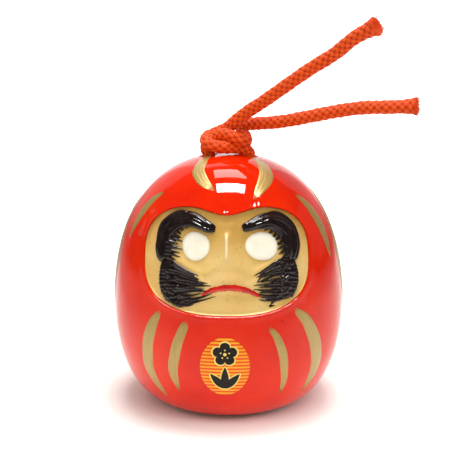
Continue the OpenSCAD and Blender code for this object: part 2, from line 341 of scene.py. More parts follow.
def bare_clay(name):
    grain = (900, 5, 0.65)
    stops = [(0.3, (0.33, 0.15, 0.08)), (0.6, (0.50, 0.25, 0.14)), (0.8, (0.62, 0.36, 0.23))]
    return tinted(name, grain, stops, grain, 0.0002, 0.6, Roughness=0.88)


def pearl_paint():
    """The face: pale gold-beige pearl paint with thin and thick patches, painted shade towards the top under
    the hood, painted light towards the bottom, and a painted highlight down the nose.
    """
    material, graph, shader = new_material("pearl_paint")
    place = place_of(graph)
    cloud = noise(graph, place, 95, 4, 0.6)
    # Darker colours for the upper face: painted shade under the hood
    upper = ramp(graph, cloud, [
        (0.25, (0.58, 0.31, 0.050)),
        (0.5, (0.66, 0.38, 0.080)),
        (0.75, (0.74, 0.47, 0.135)),
    ])
    # Paler colours for the lower face: painted light
    lower = ramp(graph, cloud, [
        (0.25, (0.79, 0.47, 0.12)),
        (0.5, (0.86, 0.57, 0.18)),
        (0.75, (0.91, 0.66, 0.26)),
    ])
    axes = axes_of(graph, place)
    # From the painted shade at the top of the face to the painted light at its bottom
    painted_shade_to_light = span(graph, axes["Z"], 0.058, 0.049)
    paint = mix(graph, painted_shade_to_light, upper, lower)
    # A painted highlight: a pale line down the bridge of the nose, where light glints on its ridge
    aside = sums(graph, "ABSOLUTE", sums(graph, "SUBTRACT", axes["X"], NOSE_X * MM), 0.0)
    nose_highlight_foot = span(graph, axes["Z"], 0.0500, 0.0515)
    nose_highlight_top = span(graph, axes["Z"], 0.0572, 0.0558, 0.0, 0.6)
    line = sums(graph, "MULTIPLY", span(graph, aside, 0.0005, 0.0002), nose_highlight_foot)
    line = sums(graph, "MULTIPLY", line, nose_highlight_top)
    # Paints the pale highlight colour along the nose line
    wire(graph, mix(graph, line, paint, (1.0, 0.93, 0.66)), shader.inputs["Base Color"])
    wire(graph, span(graph, noise(graph, place, 500, 3), 0.3, 0.7, 0.26, 0.42), shader.inputs["Roughness"])
    set_shader(shader, Metallic=0.15, Coat_Weight=0.4, Coat_Roughness=0.16)
    bump(graph, shader, noise(graph, place, 330, 3, 0.5), 0.00008, 0.4)
    return material


def cream_slip():
    stops = [(0.3, (0.97, 0.88, 0.66)), (0.6, (1.0, 0.95, 0.78))]
    return tinted(
        "cream_slip", (300, 4, 0.6), stops, (420, 4, 0.65, 0.6), 0.0003, 0.55,
        Roughness=0.38, Coat_Weight=0.3, Coat_Roughness=0.15,
    )


def black_slip():
    stops = [(0.35, (0.006, 0.003, 0.003)), (0.7, (0.022, 0.012, 0.010))]
    return tinted(
        "black_slip", (350, 4, 0.6), stops, (850, 2, 0.4), 0.0008, 1.0, rough=(0.10, 0.26, (800, 3)),
        Coat_Weight=1.0, Coat_Roughness=0.05, Coat_IOR=1.5, Specular_IOR_Level=0.0,
    )


def lip_slip():
    stops = [(0.3, (0.42, 0.004, 0.002)), (0.6, (0.74, 0.010, 0.003))]
    return tinted(
        "lip_slip", (500, 4, 0.6), stops, (700, 3, 0.5), 0.0003, 0.5,
        Roughness=0.2, Coat_Weight=0.7, Coat_Roughness=0.06,
    )


def gold_paint():
    """Olive-gold paint with streaks along each brush stroke."""
    material, graph, shader = new_material("gold_paint")
    streak = noise(graph, place_of(graph, "UV", (0.12, 3.2, 1)), 1.0, 4, 0.6)
    fleck = noise(graph, place_of(graph), 2500, 2, 0.6)
    wire(graph, ramp(graph, streak, [
        (0.25, (0.33, 0.205, 0.040)),
        (0.5, (0.42, 0.275, 0.062)),
        (0.75, (0.52, 0.365, 0.105)),
    ]), shader.inputs["Base Color"])
    wire(graph, span(graph, fleck, 0.3, 0.7, 0.28, 0.5), shader.inputs["Roughness"])
    set_shader(shader, Metallic=0.35, Coat_Weight=0.6, Coat_Roughness=0.2)
    bump(graph, shader, streak, 0.0001, 0.4)
    return material


def label_print():
    """Golden label printed with orange-red stripes."""
    material, graph, shader = new_material("label_print")
    place = place_of(graph)
    axes = axes_of(graph, place)
    stripe_pitch = 0.00105
    turns = sums(graph, "MULTIPLY", axes["Z"], 2 * math.pi / stripe_pitch)
    wave = sums(graph, "SINE", turns, 0.0)
    stripes = span(graph, wave, -0.3, 0.15)
    soft = span(graph, noise(graph, place, 120, 3), 0.35, 0.7)
    ground = mix(graph, soft, (0.90, 0.37, 0.008), (0.92, 0.52, 0.03))
    wire(graph, mix(graph, stripes, ground, (0.80, 0.065, 0.004)), shader.inputs["Base Color"])
    set_shader(shader, Roughness=0.35, Coat_Weight=0.4, Coat_Roughness=0.1, Specular_IOR_Level=0.1)
    bump(graph, shader, noise(graph, place, 1500, 2), 0.00004, 0.4)
    return material


def print_ink(name, dark, light):
    return tinted(
        name, (900, 3, 0.6), [(0.3, dark), (0.7, light)], (2000, 2), 0.00003, 0.4,
        Roughness=0.45, Coat_Weight=0.2, Coat_Roughness=0.15, Specular_IOR_Level=0.1,
    )


def braid_yarn():
    """Filaments run along each yarn, with painted shade where it dives under the next."""
    material, graph, shader = new_material("braid_yarn")
    fibre = noise(graph, place_of(graph, "UV", (0.5, 9.0, 1)), 1.0, 4, 0.65)
    depth = graph.nodes.new("ShaderNodeAttribute")
    depth.attribute_name = "height"
    tint = ramp(graph, fibre, [
        (0.25, (0.90, 0.055, 0.003)),
        (0.5, (0.98, 0.10, 0.006)),
        (0.75, (1.0, 0.20, 0.016)),
    ])
    # Painted shade: the yarn darkens where its surface is low, in the gaps between yarns
    shade = span(graph, depth.outputs["Fac"], 0.30, 0.90)
    wire(graph, mix(graph, shade, (0.46, 0.012, 0.002), tint), shader.inputs["Base Color"])
    set_shader(shader, Roughness=0.6, Sheen_Weight=0.12, Sheen_Roughness=0.4, Specular_IOR_Level=0.25)
    shader.inputs["Sheen Tint"].default_value = (1.0, 0.45, 0.2, 1)
    bump(graph, shader, fibre, 0.00025, 0.8)
    return material


# ---- The body's surface, in millimetres --------------------------------------------------

def outline(angle):
    """Radius and height of the outline at angles from -90 at the base to 90 at the crown."""
    t = np.radians(angle)
    c, s = np.cos(t).clip(0), np.abs(np.sin(t))
    up = angle >= 0
    r = np.where(up, BODY_R * c ** (2 / CROWN_N), BASE_R + (BODY_R - BASE_R) * c ** (2 / BELLY_N))
    above, below = (BODY_H - WAIST_Z) * s ** (2 / CROWN_N), WAIST_Z * s ** (2 / BELLY_N)
    z = np.where(up, WAIST_Z + above, WAIST_Z - below)
    return r, z


def outward(angle):
    """The outline's outward normal."""
    step = 0.25
    r1, z1 = outline(np.minimum(90.0, angle + step))
    r0, z0 = outline(np.maximum(-90.0, angle - step))
    length = np.hypot(r1 - r0, z1 - z0)
    return (z1 - z0) / length, (r0 - r1) / length


ANGLES = np.linspace(-90, 90, 4001)
ANGLE_R, ANGLE_Z = outline(ANGLES)
ANGLE_LATITUDE = np.degrees(np.arctan2(ANGLE_Z - WAIST_Z, ANGLE_R))


def on_body(azimuth, angle, lift=0.0):
    """Points at azimuth (0 is the front, 90 is +X) and outline angle, lifted off the surface."""
    azimuth, angle = np.radians(azimuth), np.asarray(angle, float)
    r, z = outline(angle)
    nr, nz = outward(angle)
    r = np.maximum(r + lift * nr, 0)
    z = z + lift * nz + 0 * azimuth
    return np.stack([r * np.sin(azimuth), -r * np.cos(azimuth), z], -1)


def drop_on(points, lift=0.0):
    """The points of the lifted body that lie under space points, seen from the waist's centre."""
    azimuth = np.degrees(np.arctan2(points[..., 0], -points[..., 1]))
    latitude = np.degrees(np.arctan2(points[..., 2] - WAIST_Z, np.hypot(points[..., 0], points[..., 1])))
    return on_body(azimuth, np.interp(latitude, ANGLE_LATITUDE, ANGLES), lift)


def radius_at(z, lift):
    """Radius of the lifted body at height z."""
    angle = np.interp(z, ANGLE_Z, ANGLES)
    for _ in range(6):
        angle = np.interp(z - lift * outward(angle)[1], ANGLE_Z, ANGLES)
    return outline(angle)[0] + lift * outward(angle)[0]


def front_point(x, z, lift):
    """The front point of the lifted body at x and z."""
    x, z, lift = np.broadcast_arrays(np.asarray(x, float), z, lift)
    r = radius_at(z, lift)
    return np.stack([x, -np.sqrt(np.maximum(1.0, r * r - x * x)), z], -1)


def crown_z(x, y, lift=0.0):
    """Height of the lifted crown over a point of the plan."""
    top = ANGLES >= 30
    nr, nz = outward(ANGLES[top])
    r, z = ANGLE_R[top] + lift * nr, ANGLE_Z[top] + lift * nz
    order = np.argsort(r)
    return np.interp(np.hypot(x, y), r[order], z[order])


# ---- The moulded face --------------------------------------------------------------------

def hump(value, middle, width):
    return np.exp(-((value - middle) / width) ** 2)


def window(turn):
    """The face window's outline at parameter turn, in degrees."""
    t = np.radians(turn)
    c, s = np.cos(t), np.sin(t)
    x = FACE_HALF_W * np.sign(c) * np.abs(c) ** (2 / FACE_N)
    half_h = np.where(s > 0, FACE_TOP - FACE_Z, FACE_Z - FACE_LOW)
    z = half_h * np.sign(s) * np.abs(s) ** (2 / FACE_N)
    z = z - np.where(s > 0, HOOD_DIP * hump(x, 0, DIP_W), 0)
    return np.stack([FACE_X + x, FACE_Z + z], -1)


WINDOW = window(np.linspace(-180, 180, 1441)[:-1])
WINDOW_BEARING = np.degrees(np.arctan2(WINDOW[:, 1] - FACE_Z, WINDOW[:, 0] - FACE_X))


def window_at(bearing):
    """The window's outline, and its outward normal, on given bearings from the face's centre."""
    order = np.argsort(WINDOW_BEARING)
    def at(b):
        return np.stack([
            np.interp(b, WINDOW_BEARING[order], WINDOW[order, k], period=360) for k in (0, 1)
        ], -1)
    point = at(bearing)
    along = at(bearing + 1.0) - at(bearing - 1.0)
    normal = np.stack([along[:, 1], -along[:, 0]], -1)
    return point, unit(normal)


def smooth_line(points, count):
    """A Catmull-Rom curve through points, with count steps between each pair."""
    p = np.asarray(points, float)
    ends = np.concatenate([[2 * p[0] - p[1]], p, [2 * p[-1] - p[-2]]])
    a, b, c, d = ends[:-3], ends[1:-2], ends[2:-1], ends[3:]
    t = (np.arange(count) / count)[None, :, None]
    a, b, c, d = (q[:, None, :] for q in (a, b, c, d))
    bend, twist = 2 * a - 5 * b + 4 * c - d, 3 * b - a - 3 * c + d
    rows = 0.5 * (2 * b + (c - a) * t + bend * t ** 2 + twist * t ** 3)
    return np.concatenate([rows.reshape(-1, p.shape[1]), p[-1:]])


def smooth(value, low, high):
    t = np.clip((value - low) / (high - low), 0, 1)
    return t * t * (3 - 2 * t)


def fold(x, z, start, end, width):
    """A soft ridge of height 1 along a straight line on the face."""
    (ax, az), (bx, bz) = start, end
    run = ((x - ax) * (bx - ax) + (z - az) * (bz - az)) / ((bx - ax) ** 2 + (bz - az) ** 2)
    run = np.clip(run, 0, 1)
    gap = np.hypot(x - ax - run * (bx - ax), z - az - run * (bz - az))
    return hump(gap, 0, width)


PATH_STEPS = 12

# Height and half width of the nose by height on the face
NOSE_PROFILE = smooth_line([
    (42.6, 0.0), (43.8, 0.25), (44.9, 0.85), (46.0, 1.6), (47.2, 2.05), (49.0, 2.1),
    (51.5, 1.8), (54.5, 1.3), (57.5, 0.8), (60.5, 0.35), (63.0, 0.1),
], PATH_STEPS)
NOSE_HALF = smooth_line([
    (42.0, 6.2), (46.0, 6.1), (48.0, 5.4), (50.0, 4.3), (53.0, 3.3), (56.0, 2.7), (60.0, 2.5), (64.0, 2.5),
], PATH_STEPS)


def relief(x, z):
    """Height of the modelled features above the plain face."""
    from_nose = np.abs(x - NOSE_X)
    height = np.interp(z, NOSE_PROFILE[:, 0], NOSE_PROFILE[:, 1])
    half = np.interp(z, NOSE_HALF[:, 0], NOSE_HALF[:, 1])
    nose = height * np.exp(-(from_nose / half) ** 2.6)
    ridge = 0.4 * hump(from_nose, 0, 0.75) * smooth(z, 48.5, 50.5) * (1 - smooth(z, 55.0, 57.5))
    wings = 0.3 * hump(from_nose, 5.0, 1.3) * hump(z, 46.6, 1.3)
    muzzle = 0.35 * hump(x, 0.3, 7.5) * hump(z, 42.8, 1.8)
    groove = -0.2 * hump(from_nose, 0, 0.9) * hump(z, 43.9, 1.0)
    lip_shade = -0.3 * hump(x, 0.5, 7.0) * hump(z, 39.9, 1.2)
    left_fold = fold(x, z, (-14.5, 49.0), (-5.8, 44.6), 1.5)
    right_fold = fold(x, z, (13.5, 49.2), (5.2, 44.4), 1.5)
    cheeks = 0.75 * (left_fold + right_fold)
    brows = 0.8 * smooth(np.abs(x), 1.8, 5.0) * hump(z, 57.8 + 0.09 * np.abs(x), 2.0) * hump(x, 0, 15)
    frown = 0.7 * hump(from_nose, 0, 2.6) * hump(z, 59.6, 1.3)
    sockets = -0.5 * (hump(x, -9.1, 4.8) + hump(x, 9.1, 4.8)) * hump(z, 52.6, 3.6)
    chin = 0.6 * hump(x, 0.5, 7.0) * hump(z, 37.6, 1.8)
    return nose + ridge + wings + muzzle + groove + lip_shade + cheeks + brows + frown + sockets + chin


def face_point(x, z, lift=0.0):
    return front_point(x, z, relief(x, z) - FACE_SINK + lift)


# ---- Mesh tools --------------------------------------------------------------------------

WELD = 2e-6            # metres
PLAIN_HEIGHT = 0.7     # for points that are given no height for the shader


def smooth_faces(mesh):
    mesh.polygons.foreach_set("use_smooth", np.ones(len(mesh.polygons), bool))


def vertex_rows(mesh):
    spots = np.empty(len(mesh.vertices) * 3, np.float32)
    mesh.vertices.foreach_get("co", spots)
    return spots.reshape(-1, 3)


def unit(rows):
    return rows / np.linalg.norm(rows, axis=-1, keepdims=True)


class Sheets:
    """Collects grids of points in millimetres and welds them into one mesh."""

    def __init__(self):
        self.points, self.faces, self.flats, self.marks, self.values = [], [], [], [], []
        self.count = 0

    def grid(self, rows, closed=False, flat=None, mark=0, values=None):
        """Adds rows of points. flat gives each point's place (along, across) on its own stroke,
        and values its height for the shader."""
        rows = np.asarray(rows, float)
        m, n = rows.shape[:2]
        self.points.append(rows.reshape(-1, 3))
        values = np.full(m * n, PLAIN_HEIGHT) if values is None else np.asarray(values, float)
        flat = np.zeros((m * n, 2)) if flat is None else np.asarray(flat, float)
        self.values.append(values.ravel())
        self.flats.append(flat.reshape(-1, 2))
        i, j = np.meshgrid(np.arange(m - 1), np.arange(n if closed else n - 1), indexing="ij")
        k = (j + 1) % n
        quads = np.stack([i * n + j, i * n + k, (i + 1) * n + k, (i + 1) * n + j], -1).reshape(-1, 4)
        self.faces.append(quads + self.count)
        self.marks.append(np.full(len(quads), mark))
        self.count += m * n

    def cap(self, ring, mark=0):
        """Closes a ring of points with a fan about its middle."""
        ring = np.asarray(ring, float)
        self.grid([ring, np.repeat(ring.mean(0)[None], len(ring), 0)], closed=True, mark=mark)

    def solid(self, rows, **details):
        """Adds rows of closed rings and caps both ends."""
        self.grid(rows, closed=True, **details)
        self.cap(rows[0], details.get("mark", 0))
        self.cap(rows[-1], details.get("mark", 0))

    def object(self, name, materials, sharp=40.0):
        mesh = bpy.data.meshes.new(name)
        points = np.concatenate(self.points) * MM
        faces = np.concatenate(self.faces)
        mesh.from_pydata(points.tolist(), [], faces.tolist())
        flat = np.concatenate(self.flats)
        layer = mesh.uv_layers.new(name="UVMap")
        layer.data.foreach_set("uv", flat[faces.ravel()].astype(np.float32).ravel())
        # The height attribute sets how much painted shade the braid gets
        height = mesh.attributes.new("height", "FLOAT", "POINT")
        height.data.foreach_set("value", np.concatenate(self.values).astype(np.float32))
        mesh.polygons.foreach_set("material_index", np.concatenate(self.marks).astype(np.int32))
        smooth_faces(mesh)
        work = bmesh.new()
        work.from_mesh(mesh)
        bmesh.ops.remove_doubles(work, verts=work.verts, dist=WELD)
        bmesh.ops.dissolve_degenerate(work, edges=work.edges, dist=WELD / 2)
        bmesh.ops.recalc_face_normals(work, faces=work.faces)
        work.to_mesh(mesh)
        work.free()
        mesh.set_sharp_from_angle(angle=math.radians(sharp))
        for material in materials:
            mesh.materials.append(material)
        return add_object(name, mesh)


def settle(piece, body, slot, *nodes):
    """Fixes a piece to its body and hides the CAD nodes that it stands for; its slot is not used."""
    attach(piece, body)
    if nodes:
        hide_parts(*nodes)


def between(a, b, shares):
    """Rows of points from row a to row b."""
    return a[None] + (b - a)[None] * np.asarray(shares)[:, None, None]


def even_line(points, step):
    """The same line with evenly spaced points."""
    gaps = np.linalg.norm(np.diff(points[:, :3], axis=0), axis=1)
    travel = np.concatenate([[0], np.cumsum(gaps)])
    count = max(2, int(round(travel[-1] / step)) + 1)
    where = np.linspace(0, travel[-1], count)
    return np.stack([np.interp(where, travel, points[:, k]) for k in range(points.shape[1])], -1)


def across_line(line):
    """Unit directions across a line of (x, z) points."""
    along = unit(np.gradient(line[:, :2], axis=0))
    return np.stack([-along[:, 1], along[:, 0]], -1)


def rounded(t, start, end, least):
    """A share of the full width along a line from t = 0 to 1, rounded off over start and end."""
    return np.sqrt(np.clip(np.minimum(t / start, (1 - t) / end), least, 1))


# ---- Shell -------------------------------------------------------------------------------

ROW_STEP = 1.5
BLOCK_AZ, BLOCK_LOW, BLOCK_HIGH = 54, -6.0, 57.0
CAP_ANGLE = 66.0
LINE_POINTS = 41
HOLE_ROLL, SLIT_ROLL = 0.7, 0.5
FLAT_BELOW = -80       # under this outline angle, next to the flat base, the mesh keeps its own normals
ON_GLAZE = 0.004       # distance from the outline, in mm, that still counts as on it


def block_loop():
    """Azimuths and angles round the rectangle that is kept free for the face window."""
    across = np.arange(-BLOCK_AZ, BLOCK_AZ + 1.0)
    upward = np.arange(BLOCK_LOW, BLOCK_HIGH + 0.1, ROW_STEP)
    azimuth = np.concatenate([
        across, np.full(len(upward) - 2, BLOCK_AZ), across[::-1], np.full(len(upward) - 2, -BLOCK_AZ)
    ])
    angle = np.concatenate([
        np.full(len(across), BLOCK_LOW), upward[1:-1], np.full(len(across), BLOCK_HIGH), upward[-2:0:-1]
    ])
    return azimuth, angle


# The rolled rim of the face window rises in a low lip, then rolls inward and down its wall.
# Its roll is widest where it faces RIM_FACING degrees up from straight out.
RIM_FACING = 60.0
ROLL_BELOW, ROLL_ABOVE = 0.95, 0.70
LIP_BELOW, LIP_ABOVE = 0.24, 0.20
LIP_WIDTH = 1.9
# The hood's lip swells a little more over each brow and in the middle: x, half width and height
HOOD_LUMPS = ((-13.6, 3.0, 0.16), (-0.6, 2.0, 0.12), (11.0, 3.4, 0.16))
RIM_APPROACH = (5.2, 4.6, 4.0, 3.5, 3.0, 2.6, 2.2, 1.9, 1.6, 1.35, 1.15)


def rim_roll():
    """Distance outside the window and lift along the roll, for a roll of size 1."""
    facing = np.arange(0, 91, 1.0)
    bend = 0.2 + 2.3 * hump(facing, RIM_FACING, 12)
    step = np.radians(1.0) * bend
    out = -np.cumsum(step * np.cos(np.radians(facing)))
    lift = -np.cumsum(step * np.sin(np.radians(facing)))
    out = np.concatenate([[0], out])[:-1]
    lift = np.concatenate([[0], lift])[:-1]
    return (out - out[-1])[::6], lift[::6]


def rim_rows(line, normal):
    """Rows over the rim of the window and down its wall."""
    high = smooth(line[:, 1], 38.0, 56.0)
    wave = 1 + 0.10 * np.sin(2.3 * line[:, 0] + 0.5) + 0.12 * np.sin(5.1 * line[:, 0] + 1.1 * line[:, 1])
    size = (ROLL_BELOW + (ROLL_ABOVE - ROLL_BELOW) * high) * wave
    lumps = sum(extra * hump(line[:, 0], x, half) for x, half, extra in HOOD_LUMPS)
    lip = LIP_BELOW + (LIP_ABOVE - LIP_BELOW) * high + lumps * smooth(line[:, 1], 54.0, 60.0)
    lip = lip * (1 + 0.16 * np.sin(1.3 * line[:, 0] + 0.4) * np.sin(0.37 * line[:, 0] + 1.0) * (1 - high))
    out, lift = rim_roll()
    rows = []
    for place in RIM_APPROACH:
        spot = line + (place * out[0] * size)[:, None] * normal
        rows.append(front_point(spot[:, 0], spot[:, 1], lip * hump(place, 1.0, LIP_WIDTH)))
    for o, h in zip(out[1:], lift[1:]):
        spot = line + (o * size)[:, None] * normal
        rows.append(front_point(spot[:, 0], spot[:, 1], h * size + lip))
    rows.append(front_point(line[:, 0], line[:, 1], -RECESS + 0.1))
    return rows


def window_frame(sheets):
    """The glaze round the window and its rim. Returns the window's outline and its outward normal."""
    azimuth, angle = block_loop()
    edge = on_body(azimuth, angle)
    bearing = np.degrees(np.arctan2(edge[:, 2] - FACE_Z, edge[:, 0] - FACE_X))
    line, normal = window_at(bearing)
    rim = rim_rows(line, normal)
    approach = drop_on(between(edge, rim[0], np.linspace(0, 1, 10)[1:-1]))
    sheets.grid(np.concatenate([edge[None], approach, np.array(rim)]), closed=True)
    return line, normal


def crown_loop(side):
    """Plan points round the half crown on one side: its arc, then the line between the halves."""
    azimuth = np.radians(np.arange(0, 181, 1.0))
    r = outline(np.array(CAP_ANGLE))[0]
    arc = np.stack([side * r * np.sin(azimuth), -r * np.cos(azimuth)], -1)
    line = np.stack([np.zeros(LINE_POINTS), np.linspace(r, -r, LINE_POINTS)], -1)
    return np.concatenate([arc, line[1:-1]])


def crown_half(sheets, side, lift, rolled):
    """Half the crown, from its edge to the mouth of its cord hole. Returns the hole's ring."""
    loop = crown_loop(side)
    edge_r = outline(np.array(CAP_ANGLE))[0]
    if lift:
        loop = loop * (edge_r + lift * outward(np.array(CAP_ANGLE))[0]) / edge_r
    middle = np.array([side * HOLE_X, 0])
    away = unit(loop - middle)
    roll_r = HOLE_ROLL if rolled else 0.0
    start = middle + (HOLE_R + roll_r) * away
    rows = []
    for share in np.linspace(0, 1, 9) ** 0.8:
        plan = loop + (start - loop) * share
        rows.append(np.column_stack([plan, crown_z(plan[:, 0], plan[:, 1], lift)]))
    if rolled:
        for t in np.radians([15, 30, 45, 60, 75, 90]):
            plan = middle + (HOLE_R + roll_r * (1 - math.sin(t))) * away
            drop = roll_r * (1 - math.cos(t))
            rows.append(np.column_stack([plan, crown_z(plan[:, 0], plan[:, 1], lift) - drop]))
    sheets.grid(rows, closed=True)
    return rows[-1]


def slit_ring(out, z):
    """The slit's outline grown by out, one point for each degree round the base."""
    bearing = np.radians(np.arange(-180, 180, 1.0) - 90)
    c, s = np.cos(bearing), np.sin(bearing)
    half_w = SLIT_W / 2 + out
    straight = SLIT_HALF - SLIT_W / 2
    reach = half_w / np.maximum(np.abs(s), 1e-9)
    past = reach * np.abs(c) > straight
    root = np.sqrt(np.maximum(half_w ** 2 - (straight * s) ** 2, 0))
    reach = np.where(past, straight * np.abs(c) + root, reach)
    return np.stack([reach * c, reach * s, np.full_like(c, z)], -1)


def base_plate(sheets, lift, rolled):
    """The flat base between its ring and the slit. Returns the slit's ring."""
    ring = on_body(np.arange(-180, 180, 1.0), np.full(360, -90.0), lift)
    z = ring[0, 2]
    roll_r = SLIT_ROLL if rolled else 0.0
    rows = list(between(ring, slit_ring(roll_r, z), np.linspace(0, 1, 8)))
    if rolled:
        for t in np.radians([30, 60, 90]):
            rows.append(slit_ring(roll_r * (1 - math.sin(t)), z + roll_r * (1 - math.cos(t))))
    sheets.grid(rows, closed=True)
    return rows[-1]


def smooth_glaze(mesh):
    """Gives the glaze the body's own normals wherever it lies on the outline."""
    spots = vertex_rows(mesh).astype(float) / MM
    azimuth = np.arctan2(spots[:, 0], -spots[:, 1])
    r = np.hypot(spots[:, 0], spots[:, 1])
    angle = np.interp(np.degrees(np.arctan2(spots[:, 2] - WAIST_Z, r)), ANGLE_LATITUDE, ANGLES)
    on_r, on_z = outline(angle)
    nr, nz = outward(angle)
    normal = np.stack([nr * np.sin(azimuth), -nr * np.cos(azimuth), nz], -1)
    off = (np.hypot(r - on_r, spots[:, 2] - on_z) > ON_GLAZE) | (angle < FLAT_BELOW)
    normal[off] = 0
    mesh.normals_split_custom_set_from_vertices(normal.tolist())


def make_shell():
    sheets = Sheets()
    columns = np.arange(-180, 180, 1.0)
    angles = np.arange(-90, CAP_ANGLE + 0.1, ROW_STEP)
    low = int(round((BLOCK_LOW + 90) / ROW_STEP))
    high = int(round((BLOCK_HIGH + 90) / ROW_STEP))
    for part in (angles[:low + 1], angles[high:]):
        sheets.grid([on_body(columns, np.full(360, a)) for a in part], closed=True)
    sides = np.arange(BLOCK_AZ, 361 - BLOCK_AZ, 1.0)
    sheets.grid([on_body(sides, np.full(len(sides), a)) for a in angles[low:high + 1]])
    line, normal = window_frame(sheets)
    # The pocket's floor, behind the painted face
    shares = np.linspace(0, 1, 8)[:-1]
    spots = np.array([FACE_X, FACE_Z]) + (line - [FACE_X, FACE_Z])[None] * (1 - shares)[:, None, None]
    floor = front_point(spots[..., 0], spots[..., 1], -RECESS + 0.1)
    sheets.grid(floor, closed=True)
    sheets.cap(floor[-1])
    inner_angles = np.linspace(-90, CAP_ANGLE, 30)
    sheets.grid([on_body(columns, np.full(360, a), -WALL) for a in inner_angles], closed=True, mark=1)
    for side in (-1, 1):
        mouth = crown_half(sheets, side, 0.0, True)
        back = crown_half(sheets, side, -WALL, False)
        sheets.grid([mouth, back], closed=True)
    mouth = base_plate(sheets, 0.0, True)
    back = base_plate(sheets, -WALL, False)
    sheets.grid([mouth, back], closed=True, mark=1)
    shell = sheets.object("shell_glazed", [red_glaze(), bare_clay("inner_clay")])
    smooth_glaze(shell.data)
    settle(shell, "shell", "red_glaze", "shell_front", "shell_back")
    return line, normal


# ---- Face, brows, beards, eyes and mouth -------------------------------------------------

# The face's edge on the pocket's wall and its fillet: distance outside the outline, and lift
FACE_EDGE = [(-0.03, -0.40), (-0.08, -0.56), (-0.18, -0.70), (-0.36, -0.82), (-0.62, -0.90), (-1.0, -0.96)]
EDGE_SINK = 1.0
EDGE_SPREAD = 4.5


def make_face(line, normal):
    sheets = Sheets()
    middle = np.array([FACE_X, FACE_Z])
    rows = []
    for out, lift in FACE_EDGE:
        spot = line + out * normal
        rows.append(front_point(spot[:, 0], spot[:, 1], lift))
    start = line + FACE_EDGE[-1][0] * normal
    reach = np.linalg.norm(start - middle, axis=1)
    for share in np.linspace(0, 1, 76)[1:-1]:
        spot = start + (middle - start) * share
        blend = smooth(share * reach, 0.0, EDGE_SPREAD)
        x, z = spot[:, 0], spot[:, 1]
        rows.append(front_point(x, z, (relief(x, z) - FACE_SINK) * blend - EDGE_SINK * (1 - blend)))
    sheets.grid(rows, closed=True)
    sheets.cap(rows[-1])
    back = [rows[0]]
    for share in np.linspace(0, 1, 10)[:-1]:
        spot = line + FACE_EDGE[0][0] * normal
        spot = spot + (middle - spot) * share
        back.append(front_point(spot[:, 0], spot[:, 1], -RECESS + 0.2))
    sheets.grid(back, closed=True)
    sheets.cap(back[-1])
    settle(sheets.object("face_moulding", [pearl_paint()]), "shell", "face_pearl", "face_panel")


def carried_frames(line):
    """Directions along a line, and two across it that turn as little as they can."""
    along = unit(np.gradient(line, axis=0))
    side = np.empty_like(line)
    previous = np.cross(along[0], (0.31, 0.93, 0.2))
    for k, ahead in enumerate(along):
        previous = previous - ahead * previous.dot(ahead)
        previous = previous / np.linalg.norm(previous)
        side[k] = previous
    return along, side, np.cross(along, side)


def round_rows(line, frames, turn, radius):
    """Rings of points about a line at angles turn. radius has a row for each ring."""
    _, side, other = frames
    spokes = np.cos(turn)[None, :, None] * side[:, None] + np.sin(turn)[None, :, None] * other[:, None]
    return line[:, None] + radius[..., None] * spokes


def rod(sheets, line, radius, sides=10):
    """A closed round rod along a line, with a radius for each point."""
    turn = np.radians(np.arange(sides) * 360 / sides)
    radius = np.broadcast_to(radius, len(line))[:, None]
    sheets.solid(round_rows(line, carried_frames(line), turn, radius))


SLIP_VOXEL = 0.12
BROW_RIDGES = 16
SPIKE_LOCKS = 5
BEARD_LOCKS = 40
BEARD_LUMPS = 20


def slip_relief(name, sheets, node):
    """Melts locks of slip together into one glossy relief."""
    rough = sheets.object(name + "_locks", [])
    melt = rough.modifiers.new("melt", "REMESH")
    melt.mode = "VOXEL"
    melt.voxel_size = SLIP_VOXEL * MM
    ease = rough.modifiers.new("ease", "SMOOTH")
    ease.factor = 0.5
    ease.iterations = 2
    ready = rough.evaluated_get(bpy.context.evaluated_depsgraph_get())
    mesh = bpy.data.meshes.new_from_object(ready)
    bpy.data.objects.remove(rough)
    smooth_faces(mesh)
    mesh.materials.clear()
    mesh.materials.append(SLIP)
    settle(add_object(name, mesh), "shell", "black_slip", node)


def even_path(points, count=24):
    line = smooth_line(points, PATH_STEPS)
    length = np.linalg.norm(np.diff(line[:, :2], axis=0), axis=1).sum()
    return even_line(line, length / (count - 1))[:count]


def among(paths, place):
    """The path at a place, from 0 up, among neighbouring paths."""
    low = min(int(place), len(paths) - 2)
    return paths[low] + (paths[low + 1] - paths[low]) * (place - low)


def lock(sheets, line, radius, rise):
    """A lock of slip along (x, z) points, with a radius and height at each."""
    if len(line) < 4:
        return
    rod(sheets, face_point(line[:, 0], line[:, 1], rise), radius, sides=9)


